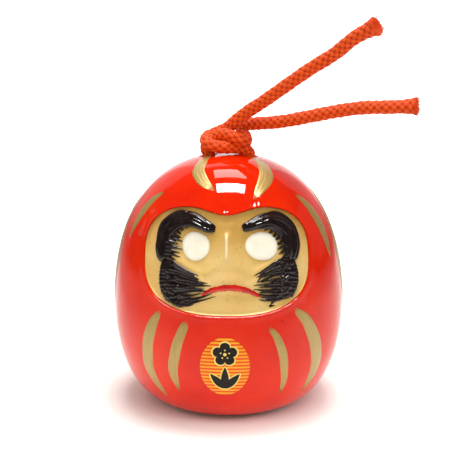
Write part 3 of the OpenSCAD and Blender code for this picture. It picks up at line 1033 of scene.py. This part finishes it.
def make_brow(name, node, centre, spikes, chance):
    """A thick brow with fine ridges along it and short spikes on its inner edge.
    centre is a list of (x, z, half width)."""
    sheets = Sheets()
    line = even_line(smooth_line(centre, 14), 0.3)
    count = len(line)
    across = across_line(line)
    ends = rounded(np.linspace(0, 1, count), 0.04, 0.05, 0.01)
    for place in (-0.62, -0.2, 0.2, 0.62):
        radius = 0.55 * line[:, 2] * ends
        spot = line[:, :2] + across * (place * (line[:, 2] - 0.5 * radius))[:, None] * 0.8
        lock(sheets, spot, radius, 0.18 * ends)
    for _ in range(BROW_RIDGES):
        place = 0.95 * (2 * chance.random() - 1)
        first = int(count * 0.5 * chance.random() ** 2.5)
        last = count - int(count * 0.35 * chance.random() ** 2)
        cut = slice(first, last)
        t = np.linspace(0, 1, last - first)
        taper = rounded(t, 0.12, 0.2, 0.06)
        radius = (0.34 + 0.40 * chance.random()) * taper
        sway = 0.22 * np.sin(2 * np.pi * (1.1 * t + chance.random()))
        spot = line[cut, :2] + across[cut] * (place * (line[cut, 2] - 0.25) + sway)[:, None]
        rise = (0.60 * line[cut, 2] * math.sqrt(1 - 0.85 * place * place) - 0.1) * ends[cut]
        lock(sheets, spot, radius, rise - 0.12 * (1 - taper))
    for root, tip in spikes:
        root, tip = np.array(root), np.array(tip)
        ahead = (tip - root) / np.linalg.norm(tip - root)
        beside = np.array([-ahead[1], ahead[0]])
        for number in range(SPIKE_LOCKS):
            longest = number == 0
            shift = 0.0 if longest else 1.1 * (chance.random() - 0.5)
            reach = 0.85 + 0.25 * chance.random() if longest else 0.3 + 0.6 * chance.random()
            end = root + (tip - root) * reach + beside * shift
            spot = even_path([root + beside * shift * 0.6, (root + end) / 2 + [0, 0.15], end], 14)
            t = np.linspace(0, 1, len(spot))
            radius = 0.09 + (0.50 if longest else 0.34) * (1 - t) ** 0.75
            lock(sheets, spot, radius, 0.75 * (1 - t) + 0.02)
    slip_relief(name, sheets, node)


def make_beard(name, node, flow, extras, chance):
    """A thick beard whose hairs follow the flow paths, from root to tip, with loose extra hairs."""
    sheets = Sheets()
    paths = [even_path(points) for points in flow]
    count = len(paths[0])
    for place in np.arange(0, len(paths) - 0.99, 0.5):
        spot = among(paths, min(place, len(paths) - 1))
        reach = int(count * (0.42 + 0.08 * math.sin(5 * place)))
        t = np.linspace(0, 1, reach)
        edge = min(1.0, 0.62 + 0.5 * min(place, len(paths) - 1 - place))
        radius = edge * (1.15 - 0.75 * t ** 2) * np.sqrt(np.clip(t / 0.12, 0.1, 1))
        lock(sheets, spot[:reach], radius, 0.5 * (1 - t))
    for number in range(BEARD_LOCKS):
        # The first few run along the flow paths to their tips, the rest between them
        tip_lock = number < 2 * len(paths) - 1
        place = number / 2 if tip_lock else chance.random() * (len(paths) - 1)
        spot = among(paths, place)
        first = int(count * (0.3 if tip_lock else 0.5 * chance.random()))
        short = 0.14 * (number % 2) if tip_lock else 0.3 + 0.3 * chance.random()
        last = count - int(count * short)
        s = np.linspace(0, 1, count)[first:last]
        t = np.linspace(0, 1, last - first)
        sway = 0.14 * np.sin(2 * np.pi * (0.8 * t + chance.random()))
        thick = 0.36 if tip_lock else 0.34 + 0.40 * chance.random()
        radius = 0.12 + thick * np.sqrt(np.clip(t / 0.12, 0, 1)) * (1 - t) ** 0.7
        rise = 1.15 * np.clip(1 - s, 0, 1) ** 0.7 * (0.85 + 0.15 * chance.random()) - 0.05
        lock(sheets, spot[first:last] + np.stack([0 * sway, sway], -1), radius, rise)
    # Lumps of slip across the roots
    for _ in range(BEARD_LUMPS):
        place = (len(paths) - 2) * chance.random()
        first = 1 + int(count * 0.34 * chance.random())
        start, end = among(paths, place)[first], among(paths, place + 0.9)[first + 2]
        bow = np.array([-0.5, 0.0])
        spot = even_path([start, (start + end) / 2 + bow, end], 10)
        swell = np.sin(np.pi * np.linspace(0.08, 0.92, len(spot)))
        lock(sheets, spot, (0.30 + 0.26 * chance.random()) * swell, 1.15 * (1 - first / count) * swell + 0.1)
    for points in extras:
        spot = even_path(points, 20)
        t = np.linspace(0, 1, len(spot))
        lock(sheets, spot, 0.1 + 0.3 * (1 - t) ** 0.8, 0.4 * (1 - t))
    slip_relief(name, sheets, node)


LEFT_BROW = [
    (-3.6, 57.9, 1.1), (-6.0, 58.5, 1.8), (-10.0, 60.0, 2.3), (-14.3, 59.7, 2.4),
    (-17.4, 57.2, 2.5), (-18.6, 53.4, 2.2), (-18.8, 50.4, 2.0), (-18.6, 47.9, 1.3),
]
LEFT_BROW_SPIKES = [
    ((-13.4, 58.8), (-11.2, 57.4)), ((-14.8, 58.0), (-12.2, 56.8)), ((-16.0, 57.0), (-12.8, 55.9)),
    ((-16.6, 55.8), (-13.2, 54.9)), ((-17.0, 54.8), (-12.9, 53.9)), ((-17.2, 53.8), (-13.6, 53.0)),
    ((-17.4, 52.6), (-13.0, 51.9)), ((-17.6, 51.6), (-13.8, 50.9)), ((-17.8, 50.6), (-13.4, 49.9)),
    ((-18.0, 49.6), (-14.8, 49.1)),
]
RIGHT_BROW = [
    (3.8, 58.0, 1.4), (6.0, 58.7, 1.6), (9.5, 59.8, 2.1), (13.5, 59.4, 2.5),
    (16.5, 57.0, 2.6), (17.9, 53.4, 2.6), (17.9, 50.4, 2.2), (17.6, 48.0, 1.4),
]
RIGHT_BROW_SPIKES = [
    ((10.6, 59.0), (8.6, 57.4)), ((12.0, 58.4), (9.8, 56.8)), ((13.4, 57.4), (11.0, 56.0)),
    ((14.6, 56.4), (11.9, 55.0)), ((15.4, 55.4), (12.8, 54.1)), ((16.0, 54.2), (13.3, 53.0)),
    ((16.4, 52.8), (13.6, 51.8)), ((16.6, 51.4), (14.0, 50.6)), ((17.0, 50.2), (14.8, 49.5)),
]
LEFT_BEARD = [
    [(-18.9, 47.9), (-15.6, 48.4), (-12.0, 46.9), (-8.2, 45.2)],
    [(-19.2, 46.2), (-15.5, 46.6), (-11.5, 45.6), (-8.0, 44.4)],
    [(-19.5, 44.2), (-15.0, 44.5), (-10.5, 43.8), (-5.6, 43.6)],
    [(-19.5, 42.2), (-14.5, 42.2), (-9.5, 42.6), (-4.7, 42.6)],
    [(-19.0, 40.2), (-14.5, 39.9), (-10.0, 40.9), (-5.2, 41.4)],
    [(-17.8, 38.6), (-14.0, 38.0), (-10.5, 38.8), (-6.4, 40.0)],
    [(-16.2, 37.6), (-13.2, 36.8), (-10.6, 37.2), (-8.6, 38.4)],
]
LEFT_BEARD_HAIRS = [
    [(-11.5, 37.2), (-8.0, 38.4), (-3.6, 39.8)], [(-11.0, 38.2), (-7.4, 39.4), (-4.4, 40.6)],
    [(-13.0, 37.4), (-11.2, 36.6), (-9.4, 36.6)],
]
RIGHT_BEARD = [
    [(18.6, 48.7), (14.6, 49.2), (10.8, 47.6), (7.0, 45.5)],
    [(19.2, 46.6), (15.0, 47.2), (11.2, 46.2), (7.6, 44.9)],
    [(19.6, 44.8), (15.0, 45.2), (11.0, 44.6), (8.2, 43.6)],
    [(19.7, 42.8), (14.5, 43.0), (10.5, 42.8), (6.9, 42.6)],
    [(19.2, 41.0), (14.4, 41.2), (10.4, 41.2), (6.8, 41.4)],
    [(18.2, 39.6), (14.2, 39.4), (10.6, 39.8), (7.2, 40.3)],
    [(16.0, 38.9), (13.2, 38.2), (10.8, 38.4), (8.2, 38.9)],
]
RIGHT_BEARD_HAIRS = [
    [(10.0, 46.0), (8.9, 44.8), (7.8, 43.4)], [(13.4, 38.6), (11.8, 37.2), (9.4, 37.2)],
    [(12.6, 38.0), (11.0, 36.6), (11.6, 36.0)], [(11.2, 36.7), (13.6, 36.9), (17.2, 38.2)],
]


def make_eye(name, node, centre, size, tilt, phase):
    """A thick dab of cream slip with a soft edge and faint brush rings."""
    turn = np.radians(np.arange(0, 360, 3))
    wobble = 1 + 0.018 * np.sin(2 * turn + phase) + 0.014 * np.sin(3 * turn + 2 * phase)
    tilt = math.radians(tilt)
    thick = 1.15
    rows = []
    for share in np.concatenate([np.linspace(0.03, 0.9, 22), [0.93, 0.955, 0.975, 0.99, 1.0]]):
        u = size[0] / 2 * share * wobble * np.cos(turn)
        v = size[1] / 2 * share * wobble * np.sin(turn)
        x = centre[0] + u * math.cos(tilt) - v * math.sin(tilt)
        z = centre[1] + u * math.sin(tilt) + v * math.cos(tilt)
        swell = thick * max(0.0, 1 - share ** 5) ** 0.55
        ripple = 0.04 * np.sin(9 * share + 2.0 * np.sin(turn + phase)) * (1 - share)
        rows.append(face_point(x, z, swell + ripple - 0.1))
    under = rows[-1] + [0, 0.5, 0]
    sheets = Sheets()
    sheets.solid(rows + [under])
    settle(sheets.object(name, [CREAM]), "shell", "eye_cream", node)


def make_mouth():
    """The down-turned red mouth: (x, z, half width) along it."""
    path = [(-7.6, 39.9, 0.3), (-4.5, 41.5, 0.75), (0.5, 42.3, 0.9), (5.0, 41.4, 0.8), (9.1, 39.4, 0.35)]
    line = even_line(smooth_line(path, 20), 0.2)
    s = np.linspace(0, 1, len(line))
    across = across_line(line)
    ends = rounded(s, 0.04, 0.04, 0.02)
    turn = np.radians(np.arange(0, 360, 15))
    wide = line[:, 2] * ends * (1 + 0.07 * np.sin(37 * s) + 0.05 * np.sin(83 * s))
    offset = wide[:, None] * np.cos(turn)
    high = 0.62 * ends * (0.9 + 0.1 * np.sin(61 * s))
    lift = high[:, None] * np.sin(turn) * np.where(np.sin(turn) > 0, 1, 0.4) - 0.02
    x = line[:, :1] + across[:, :1] * offset
    z = line[:, 1:2] + across[:, 1:] * offset
    sheets = Sheets()
    sheets.solid(face_point(x, z, lift))
    settle(sheets.object("mouth_slip", [lip_slip()]), "shell", "lip_red", "mouth")


def make_features():
    chance = np.random.default_rng(7)
    for side, centre, spikes in (
        ("left", LEFT_BROW, LEFT_BROW_SPIKES),
        ("right", RIGHT_BROW, RIGHT_BROW_SPIKES),
    ):
        make_brow(f"brow_{side}_slip", f"brow_{side}", centre, spikes, chance)
    for side, flow, hairs in (
        ("left", LEFT_BEARD, LEFT_BEARD_HAIRS),
        ("right", RIGHT_BEARD, RIGHT_BEARD_HAIRS),
    ):
        make_beard(f"beard_{side}_slip", f"beard_{side}", flow, hairs, chance)
    make_eye("eye_left_slip", "eye_left", (-9.1, 53.0), (7.8, 7.8), 0, 0.4)
    make_eye("eye_right_slip", "eye_right", (9.2, 53.0), (9.2, 7.6), -12, 1.9)
    make_mouth()


# ---- Gold strokes ------------------------------------------------------------------------

STROKE_STEP = 0.3
STROKE_ACROSS = 41
BRISTLES = (7, 11, 17, 29)
DRY_START, DRY_END = 0.1, 0.16


def brushed(name, node, centre, phase):
    """A flat brush stroke on the glaze. centre is (point x, y, z and half width) rows."""
    line = even_line(smooth_line(centre, 16), STROKE_STEP)
    middle, half = drop_on(line[:, :3]), line[:, 3]
    along = unit(np.gradient(middle, axis=0))
    up = drop_on(middle, 1.0) - middle
    side = unit(np.cross(up, along))
    travel = np.arange(len(line)) * STROKE_STEP
    length = travel[-1]
    blunt = np.sqrt(np.clip(np.minimum(travel, length - travel) / 0.9, 0.02, 1))
    w = np.linspace(-1, 1, STROKE_ACROSS)
    wide = half[:, None] * (0.75 + 0.25 * blunt[:, None]) * w[None]
    wander = 0.05 * np.sin(0.8 * travel + phase)
    spot = middle[:, None] + side[:, None] * (wide + wander[:, None])[..., None]
    streak = sum(
        np.sin(k * w[None] * 1.7 + phase * k + 0.05 * k * np.sin(0.11 * travel[:, None] * k + phase))
        for k in BRISTLES
    ) / len(BRISTLES)
    edge = np.clip(1 - np.abs(w) ** 6, 0, 1)[None] ** 0.5
    at_start = np.clip(1 - travel / (DRY_START * length), 0, 1)
    at_end = np.clip(1 - (length - travel) / (DRY_END * length), 0, 1)
    thin = np.maximum(at_start, at_end)[:, None]
    lift = -0.09 + edge * (0.21 + 0.045 * streak) - thin ** 1.5 * (0.12 + 0.16 * (0.4 - streak))
    top = drop_on(spot, lift)
    beneath = drop_on(spot[:, ::-5], -0.16)
    rows = np.concatenate([top, beneath], 1)
    flat = np.zeros(rows.shape[:2] + (2,))
    flat[:, :, 0] = travel[:, None] + 10 * phase
    flat[:, :STROKE_ACROSS, 1] = wide
    flat[:, STROKE_ACROSS:, 1] = wide[:, ::-5]
    sheets = Sheets()
    sheets.solid(rows, flat=flat)
    settle(sheets.object(name, [GOLD], sharp=60), "shell", "gold_paint", node)


def round_path(rows):
    """Stroke points given by azimuth, height and half width."""
    azimuth, z, half = np.array(rows, float).T
    return np.column_stack([on_body(azimuth, np.interp(z, ANGLE_Z, ANGLES)), half])


def front_path(rows):
    """Stroke points given by x, height and half width."""
    x, z, half = np.array(rows, float).T
    return np.column_stack([front_point(x, z, 0.0), half])


def make_strokes():
    paths = {
        "forehead_stroke_left": front_path([
            (-5.8, 75.2, 0.9), (-7.6, 74.1, 1.6), (-8.7, 72.2, 1.9), (-8.0, 70.5, 1.9),
            (-6.2, 68.9, 1.4), (-3.8, 67.6, 0.4),
        ]),
        "forehead_stroke_right": front_path([
            (7.2, 74.8, 0.9), (9.6, 73.5, 1.7), (10.9, 71.4, 2.2), (10.3, 69.6, 2.1),
            (8.7, 67.4, 1.4), (6.9, 65.2, 0.4),
        ]),
        "temple_stroke_left": round_path([
            (-52, 66.0, 0.5), (-60, 62.7, 1.7), (-64, 57.7, 1.6), (-66, 52.5, 0.5),
        ]),
        "temple_stroke_right": round_path([
            (53, 65.4, 0.6), (60, 60.6, 1.9), (62.5, 54.8, 2.0), (63, 47.0, 0.5),
        ]),
        "side_stroke_left": round_path([
            (-87, 63.0, 0.5), (-83, 55.4, 1.5), (-79, 49.1, 2.0), (-78, 41.6, 2.0), (-80, 35.3, 1.4),
            (-83, 30.0, 0.5),
        ]),
        "side_stroke_right": round_path([
            (88, 65.4, 0.5), (84, 61.0, 1.3), (78, 52.0, 2.0), (77, 44.0, 2.0), (81, 35.0, 1.6),
            (84, 29.0, 0.5),
        ]),
        "belly_outer_left": round_path([
            (-33.5, 34.6, 0.8), (-39, 29, 1.9), (-42.5, 22, 2.2), (-43, 15, 2.0), (-36.5, 7.4, 0.6),
        ]),
        "belly_outer_right": round_path([
            (32, 35.5, 0.8), (40, 30.5, 1.9), (47, 22.5, 2.5), (49.5, 15, 2.3), (46, 8, 0.8),
        ]),
        "belly_inner_left": round_path([
            (-19.5, 32.6, 1.2), (-23, 28.0, 1.5), (-26.5, 21.5, 1.7), (-28, 16, 1.5), (-26.4, 10.6, 0.5),
        ]),
        "belly_inner_right": round_path([
            (18.8, 31.0, 0.6), (23.5, 27, 1.2), (27, 21, 1.4), (28.8, 14.5, 1.1), (28.8, 9.3, 0.4),
        ]),
    }
    for number, (node, path) in enumerate(paths.items()):
        brushed(node + "_paint", node, path, 0.7 + 1.3 * number)


# ---- Label -------------------------------------------------------------------------------

LABEL_X, LABEL_Z = -1.0, 19.6
LABEL_W, LABEL_H = 14.0, 18.0
LABEL_T = 0.2
PRINT_T = 0.1
PRINT_SINK = -0.05
PRINT_EDGE = 0.45
FLOWER_Z, FLOWER_R = 4.1, 3.8
LEAVES_Z = -6.6


def on_label(x, z, lift):
    return front_point(LABEL_X + x, LABEL_Z + z, LABEL_T + lift)


def label_plate():
    turn = np.radians(np.arange(0, 360, 3))
    rows = []
    flat_rows = [(share, 0.0) for share in np.linspace(0.05, 0.95, 14)]
    edge_rows = [(0.98, -0.02), (0.995, -0.07), (1, -0.14), (1, -0.3)]
    for share, lift in flat_rows + edge_rows:
        x, z = LABEL_W / 2 * share * np.cos(turn), LABEL_H / 2 * share * np.sin(turn)
        rows.append(on_label(x, z, lift))
    sheets = Sheets()
    sheets.solid(rows)
    settle(sheets.object("label_plate", [label_print()]), "shell", "label_foil", "label")


def printed(sheets, x, z, edge_x, edge_z, inner):
    """Ink inside one outline, with a pale edge out to another. inner is the ink's middle line."""
    def towards(x, z, share, lift):
        return on_label(inner[0] + (x - inner[0]) * share, inner[1] + (z - inner[1]) * share, lift)
    inside = [towards(x, z, share, PRINT_T) for share in np.linspace(0, 1, 8)[1:]]
    sheets.cap(inside[0])
    sheets.grid(inside, closed=True)
    step = on_label(x, z, PRINT_T * 0.5)
    sheets.grid([inside[-1], step], closed=True)
    rim = on_label(edge_x, edge_z, PRINT_T * 0.5)
    foot = on_label(edge_x, edge_z, PRINT_SINK)
    sheets.grid([step, rim, foot], closed=True, mark=1)
    under = towards(edge_x, edge_z, 0.05, PRINT_SINK)
    sheets.grid([foot, under], closed=True, mark=1)
    sheets.cap(under, mark=1)


def petals(radius, grow, turn):
    """A five-petalled outline."""
    lobe = np.abs(np.cos(2.5 * (turn - np.pi / 2)))
    return radius * (0.62 + 0.38 * lobe ** 0.55) + grow


def leaf_outline(length, half, lean, grow):
    """A leaf from the origin along lean degrees from upright."""
    t = np.linspace(0, 1, 31)
    wide = half * np.sin(np.pi * t ** 0.8) ** 0.85 + grow * np.sin(np.pi * t) ** 0.3
    along = -grow + (length + 2 * grow) * t
    u = np.concatenate([wide, -wide[-2:0:-1]])
    v = np.concatenate([along, along[-2:0:-1]])
    a = math.radians(lean)
    return u * math.cos(a) + v * math.sin(a), -u * math.sin(a) + v * math.cos(a)


def dot(sheets, x, z, radius, turn):
    """A raised pale dot on the print."""
    rows = []
    for share, lift in ((0.3, 0.05), (0.9, 0.05), (1.0, -0.02)):
        r = radius * share
        rows.append(on_label(x + r * np.cos(turn), z + r * np.sin(turn), PRINT_T + lift))
    sheets.solid(rows, mark=1)


def make_blossom(inks):
    """A plum blossom with a dotted heart."""
    turn = np.radians(np.arange(0, 360, 2.5))
    ink, edge = (petals(FLOWER_R - 0.3, grow, turn) for grow in (0.0, PRINT_EDGE))
    sheets = Sheets()
    printed(
        sheets, ink * np.cos(turn), FLOWER_Z + ink * np.sin(turn),
        edge * np.cos(turn), FLOWER_Z + edge * np.sin(turn), (0.0, FLOWER_Z),
    )
    for angle in np.radians(90 + 72 * np.arange(5)):
        dot(sheets, 1.25 * math.cos(angle), FLOWER_Z + 1.25 * math.sin(angle), 0.24, turn[::6])
    dot(sheets, 0.0, FLOWER_Z, 0.5, turn[::6])
    settle(sheets.object("label_blossom_print", inks), "shell", "label_ink", "label_blossom")


def make_leaves(inks):
    sheets = Sheets()
    for lean, length, half in ((0, 6.8, 1.1), (-42, 6.2, 1.1), (42, 6.2, 1.1)):
        x, z = leaf_outline(length, half, lean, 0.0)
        edge_x, edge_z = leaf_outline(length, half, lean, PRINT_EDGE * 0.8)
        a = math.radians(lean)
        middle = (length * 0.5 * math.sin(a), length * 0.5 * math.cos(a) + LEAVES_Z)
        printed(sheets, x, z + LEAVES_Z, edge_x, edge_z + LEAVES_Z, middle)
    settle(sheets.object("label_leaves_print", inks), "shell", "label_ink", "label_leaves")


def make_label():
    label_plate()
    inks = [
        print_ink("ink", (0.004, 0.004, 0.004), (0.02, 0.014, 0.01)),
        print_ink("ink_edge", (0.85, 0.62, 0.10), (0.95, 0.78, 0.22)),
    ]
    make_blossom(inks)
    make_leaves(inks)


# ---- Clay ball ---------------------------------------------------------------------------

def make_ball():
    low, high = (np.array(v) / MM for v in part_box("rattle_ball"))
    middle, radius = (low + high) / 2, (high - low).min() / 2
    mesh = bpy.data.meshes.new("clay_ball")
    work = bmesh.new()
    bmesh.ops.create_icosphere(work, subdivisions=5, radius=1.0)
    work.to_mesh(mesh)
    work.free()
    spots = vertex_rows(mesh)
    x, y, z = spots.T
    dents = np.sin(3.1 * x + 2.2 * y) + np.sin(2.7 * y - 3.3 * z + 1) + np.sin(4.1 * z + 2.9 * x + 2)
    size = radius * (0.985 + 0.005 * dents)
    mesh.vertices.foreach_set("co", ((spots * size[:, None] + middle) * MM).ravel().astype(np.float32))
    smooth_faces(mesh)
    mesh.materials.append(bare_clay("ball_clay"))
    settle(add_object("clay_ball", mesh), "ball", "bisque_clay", "rattle_ball")


# ---- Braided cord ------------------------------------------------------------------------

YARNS = 6              # in each direction
LAY_LENGTH = 13.5      # how far a yarn travels in one turn round the cord
YARN_DEPTH = 0.5
CORD_SIDES = 80
RING_STEP = 0.2
LOOP_BASE = 64.3
FIBRES = 110

LOWER_ROUTE = [
    (5, 2.4, 83.7), (8, 0.6, 84.4), (12.5, -3, 85), (18, -6, 86), (24, -9.5, 87.5), (31, -13, 89.2),
    (38, -17, 90.5), (45, -21, 91), (51.5, -24, 91.5),
]
UPPER_ROUTE = [
    (1.2, 0, 84.4), (3.1, -1.7, 86.2), (5.8, -3.2, 88.4), (9.5, -6, 91), (16, -11, 96),
    (22.5, -16, 101), (29, -21, 105.5),
    (34, -26, 110), (39, -30, 113),
]
LEFT_TURN = [
    (-6, 0, 75.5), (-6.6, -0.4, 77.1), (-6.1, 0, 78.7), (-4.6, 0.3, 80.1), (-2.6, -0.3, 81),
    (-0.6, -1.6, 81.3),
    (1.4, -2.8, 80.8), (3.4, -2.9, 79.9), (5, -1.6, 79.4), (5.2, 0.6, 80.1), (4.1, 2.4, 81.8),
]
RIGHT_TURN = [
    (6, 0, 75.5), (4.6, -0.7, 76.8), (2.2, -1.8, 77.5), (-0.4, -2.8, 77.7), (-2.8, -3.4, 77.8),
    (-5, -3.2, 78.3),
    (-6.6, -1.8, 79.3), (-6.3, 0.6, 80.4), (-3.9, 2.2, 81.3), (-0.8, 1.7, 82.7),
]


def inner_turn(side):
    """A quarter of the loop inside the crown, from its lowest point up to a hole."""
    turn = np.radians(np.arange(0, 91, 15))
    return [(side * HOLE_X * math.sin(t), 0.0, LOOP_BASE + HOLE_X * (1 - math.cos(t))) for t in turn]


def braid(turn, along):
    """Height of the braid from 0 to 1, and the place along and across the yarn on top."""
    p = YARNS * (turn + along / LAY_LENGTH)
    q = YARNS * (turn - along / LAY_LENGTH)
    over = np.where((np.floor(p) + np.floor(q)) % 2 == 0, 1.0, -1.0)
    x, y = 2 * (p % 1) - 1, 2 * (q % 1) - 1
    first = 0.36 * over * np.cos(np.pi * y / 2) + 0.64 * np.sqrt(1 - x * x)
    second = -0.36 * over * np.cos(np.pi * x / 2) + 0.64 * np.sqrt(1 - y * y)
    top = first > second
    across = np.where(top, p, -q) * np.pi * CORD_D / YARNS
    return np.maximum(first, second), np.stack([along + 0 * turn, across], -1)


def cord_surface(sheets, line, frames, flare):
    """The braid's surface, which opens up by flare at its cut end. Returns its last ring."""
    travel = np.arange(len(line)) * RING_STEP
    turn = np.arange(CORD_SIDES) / CORD_SIDES
    height, flat = braid(turn[None], travel[:, None])
    open_up = 1 + (flare - 1) * np.clip(1 - (travel[-1] - travel) / 5.0, 0, 1) ** 1.4
    loose = 1 + 0.02 * np.sin(0.9 * travel) + 0.015 * np.sin(2.3 * travel + 1)
    radius = (CORD_D / 2 * loose * open_up)[:, None] - YARN_DEPTH * (1 - height)
    rows = round_rows(line, frames, 2 * np.pi * turn, radius)
    sheets.grid(rows, closed=True, flat=flat, values=height)
    sheets.cap(rows[0])
    return rows[-1]


def cut_end(sheets, ring, tip, out, chance):
    """The ragged, hollowed end of the cord."""
    ragged = 0.35 * chance.random(CORD_SIDES)[:, None]
    lip = ring + out * ragged
    bowl = [ring, lip]
    for share, depth in ((0.84, 0.25), (0.62, 0.15), (0.42, -0.35), (0.15, -0.7)):
        bowl.append(tip + (lip - tip - out * ragged) * share + out * depth)
    flat = np.zeros((len(bowl), CORD_SIDES, 2))
    flat[..., 1] = np.arange(CORD_SIDES) * 1.3
    sheets.grid(bowl, closed=True, flat=flat, values=np.full((len(bowl), CORD_SIDES), 0.75))
    sheets.cap(bowl[-1])


def loose_fibres(sheets, tip, ahead, side, other, flare, chance):
    """Single fibres that stand out of the cut end."""
    t = np.linspace(0, 1, 5)[:, None]
    for _ in range(FIBRES):
        b = 2 * np.pi * chance.random()
        r = CORD_D / 2 * flare * (0.35 + 0.62 * chance.random() ** 0.5)
        spoke = math.cos(b) * side + math.sin(b) * other
        lean = ahead + 0.35 * spoke * chance.random() + 0.22 * (chance.random(3) - 0.5)
        long = 0.7 + 1.1 * chance.random()
        curl = 0.25 * (chance.random(3) - 0.5)
        fibre = tip + spoke * r - ahead * 0.7 + lean * long * t + curl * t * t
        rod(sheets, fibre, 0.11 - 0.07 * t[:, 0], sides=5)


def make_cord(name, points, flare, nodes, chance):
    line = even_line(smooth_line(points, 20), RING_STEP)
    frames = carried_frames(line)
    ahead, side, other = (rows[-1] for rows in frames)
    sheets = Sheets()
    ring = cord_surface(sheets, line, frames, flare)
    cut_end(sheets, ring, line[-1], ahead, chance)
    loose_fibres(sheets, line[-1], ahead, side, other, flare, chance)
    cord = sheets.object(name, [BRAID], sharp=180)
    settle(cord, "cord", "braid", *nodes)


def make_cords():
    chance = np.random.default_rng(3)
    make_cord(
        "cord_to_lower_tail", inner_turn(-1) + LEFT_TURN + LOWER_ROUTE, 1.2,
        ("cord_loop", "tail_lower"), chance,
    )
    make_cord(
        "cord_to_upper_tail", inner_turn(1) + RIGHT_TURN + UPPER_ROUTE, 1.35,
        ("cord_knot", "tail_upper"), chance,
    )


# ---- Run ---------------------------------------------------------------------------------

bpy.context.scene.view_settings.view_transform = "Standard"
add_camera()
add_lights()
add_floor()
SLIP, CREAM, GOLD, BRAID = black_slip(), cream_slip(), gold_paint(), braid_yarn()
make_cords()
window_line, window_normal = make_shell()
make_face(window_line, window_normal)
make_features()
make_strokes()
make_label()
make_ball()
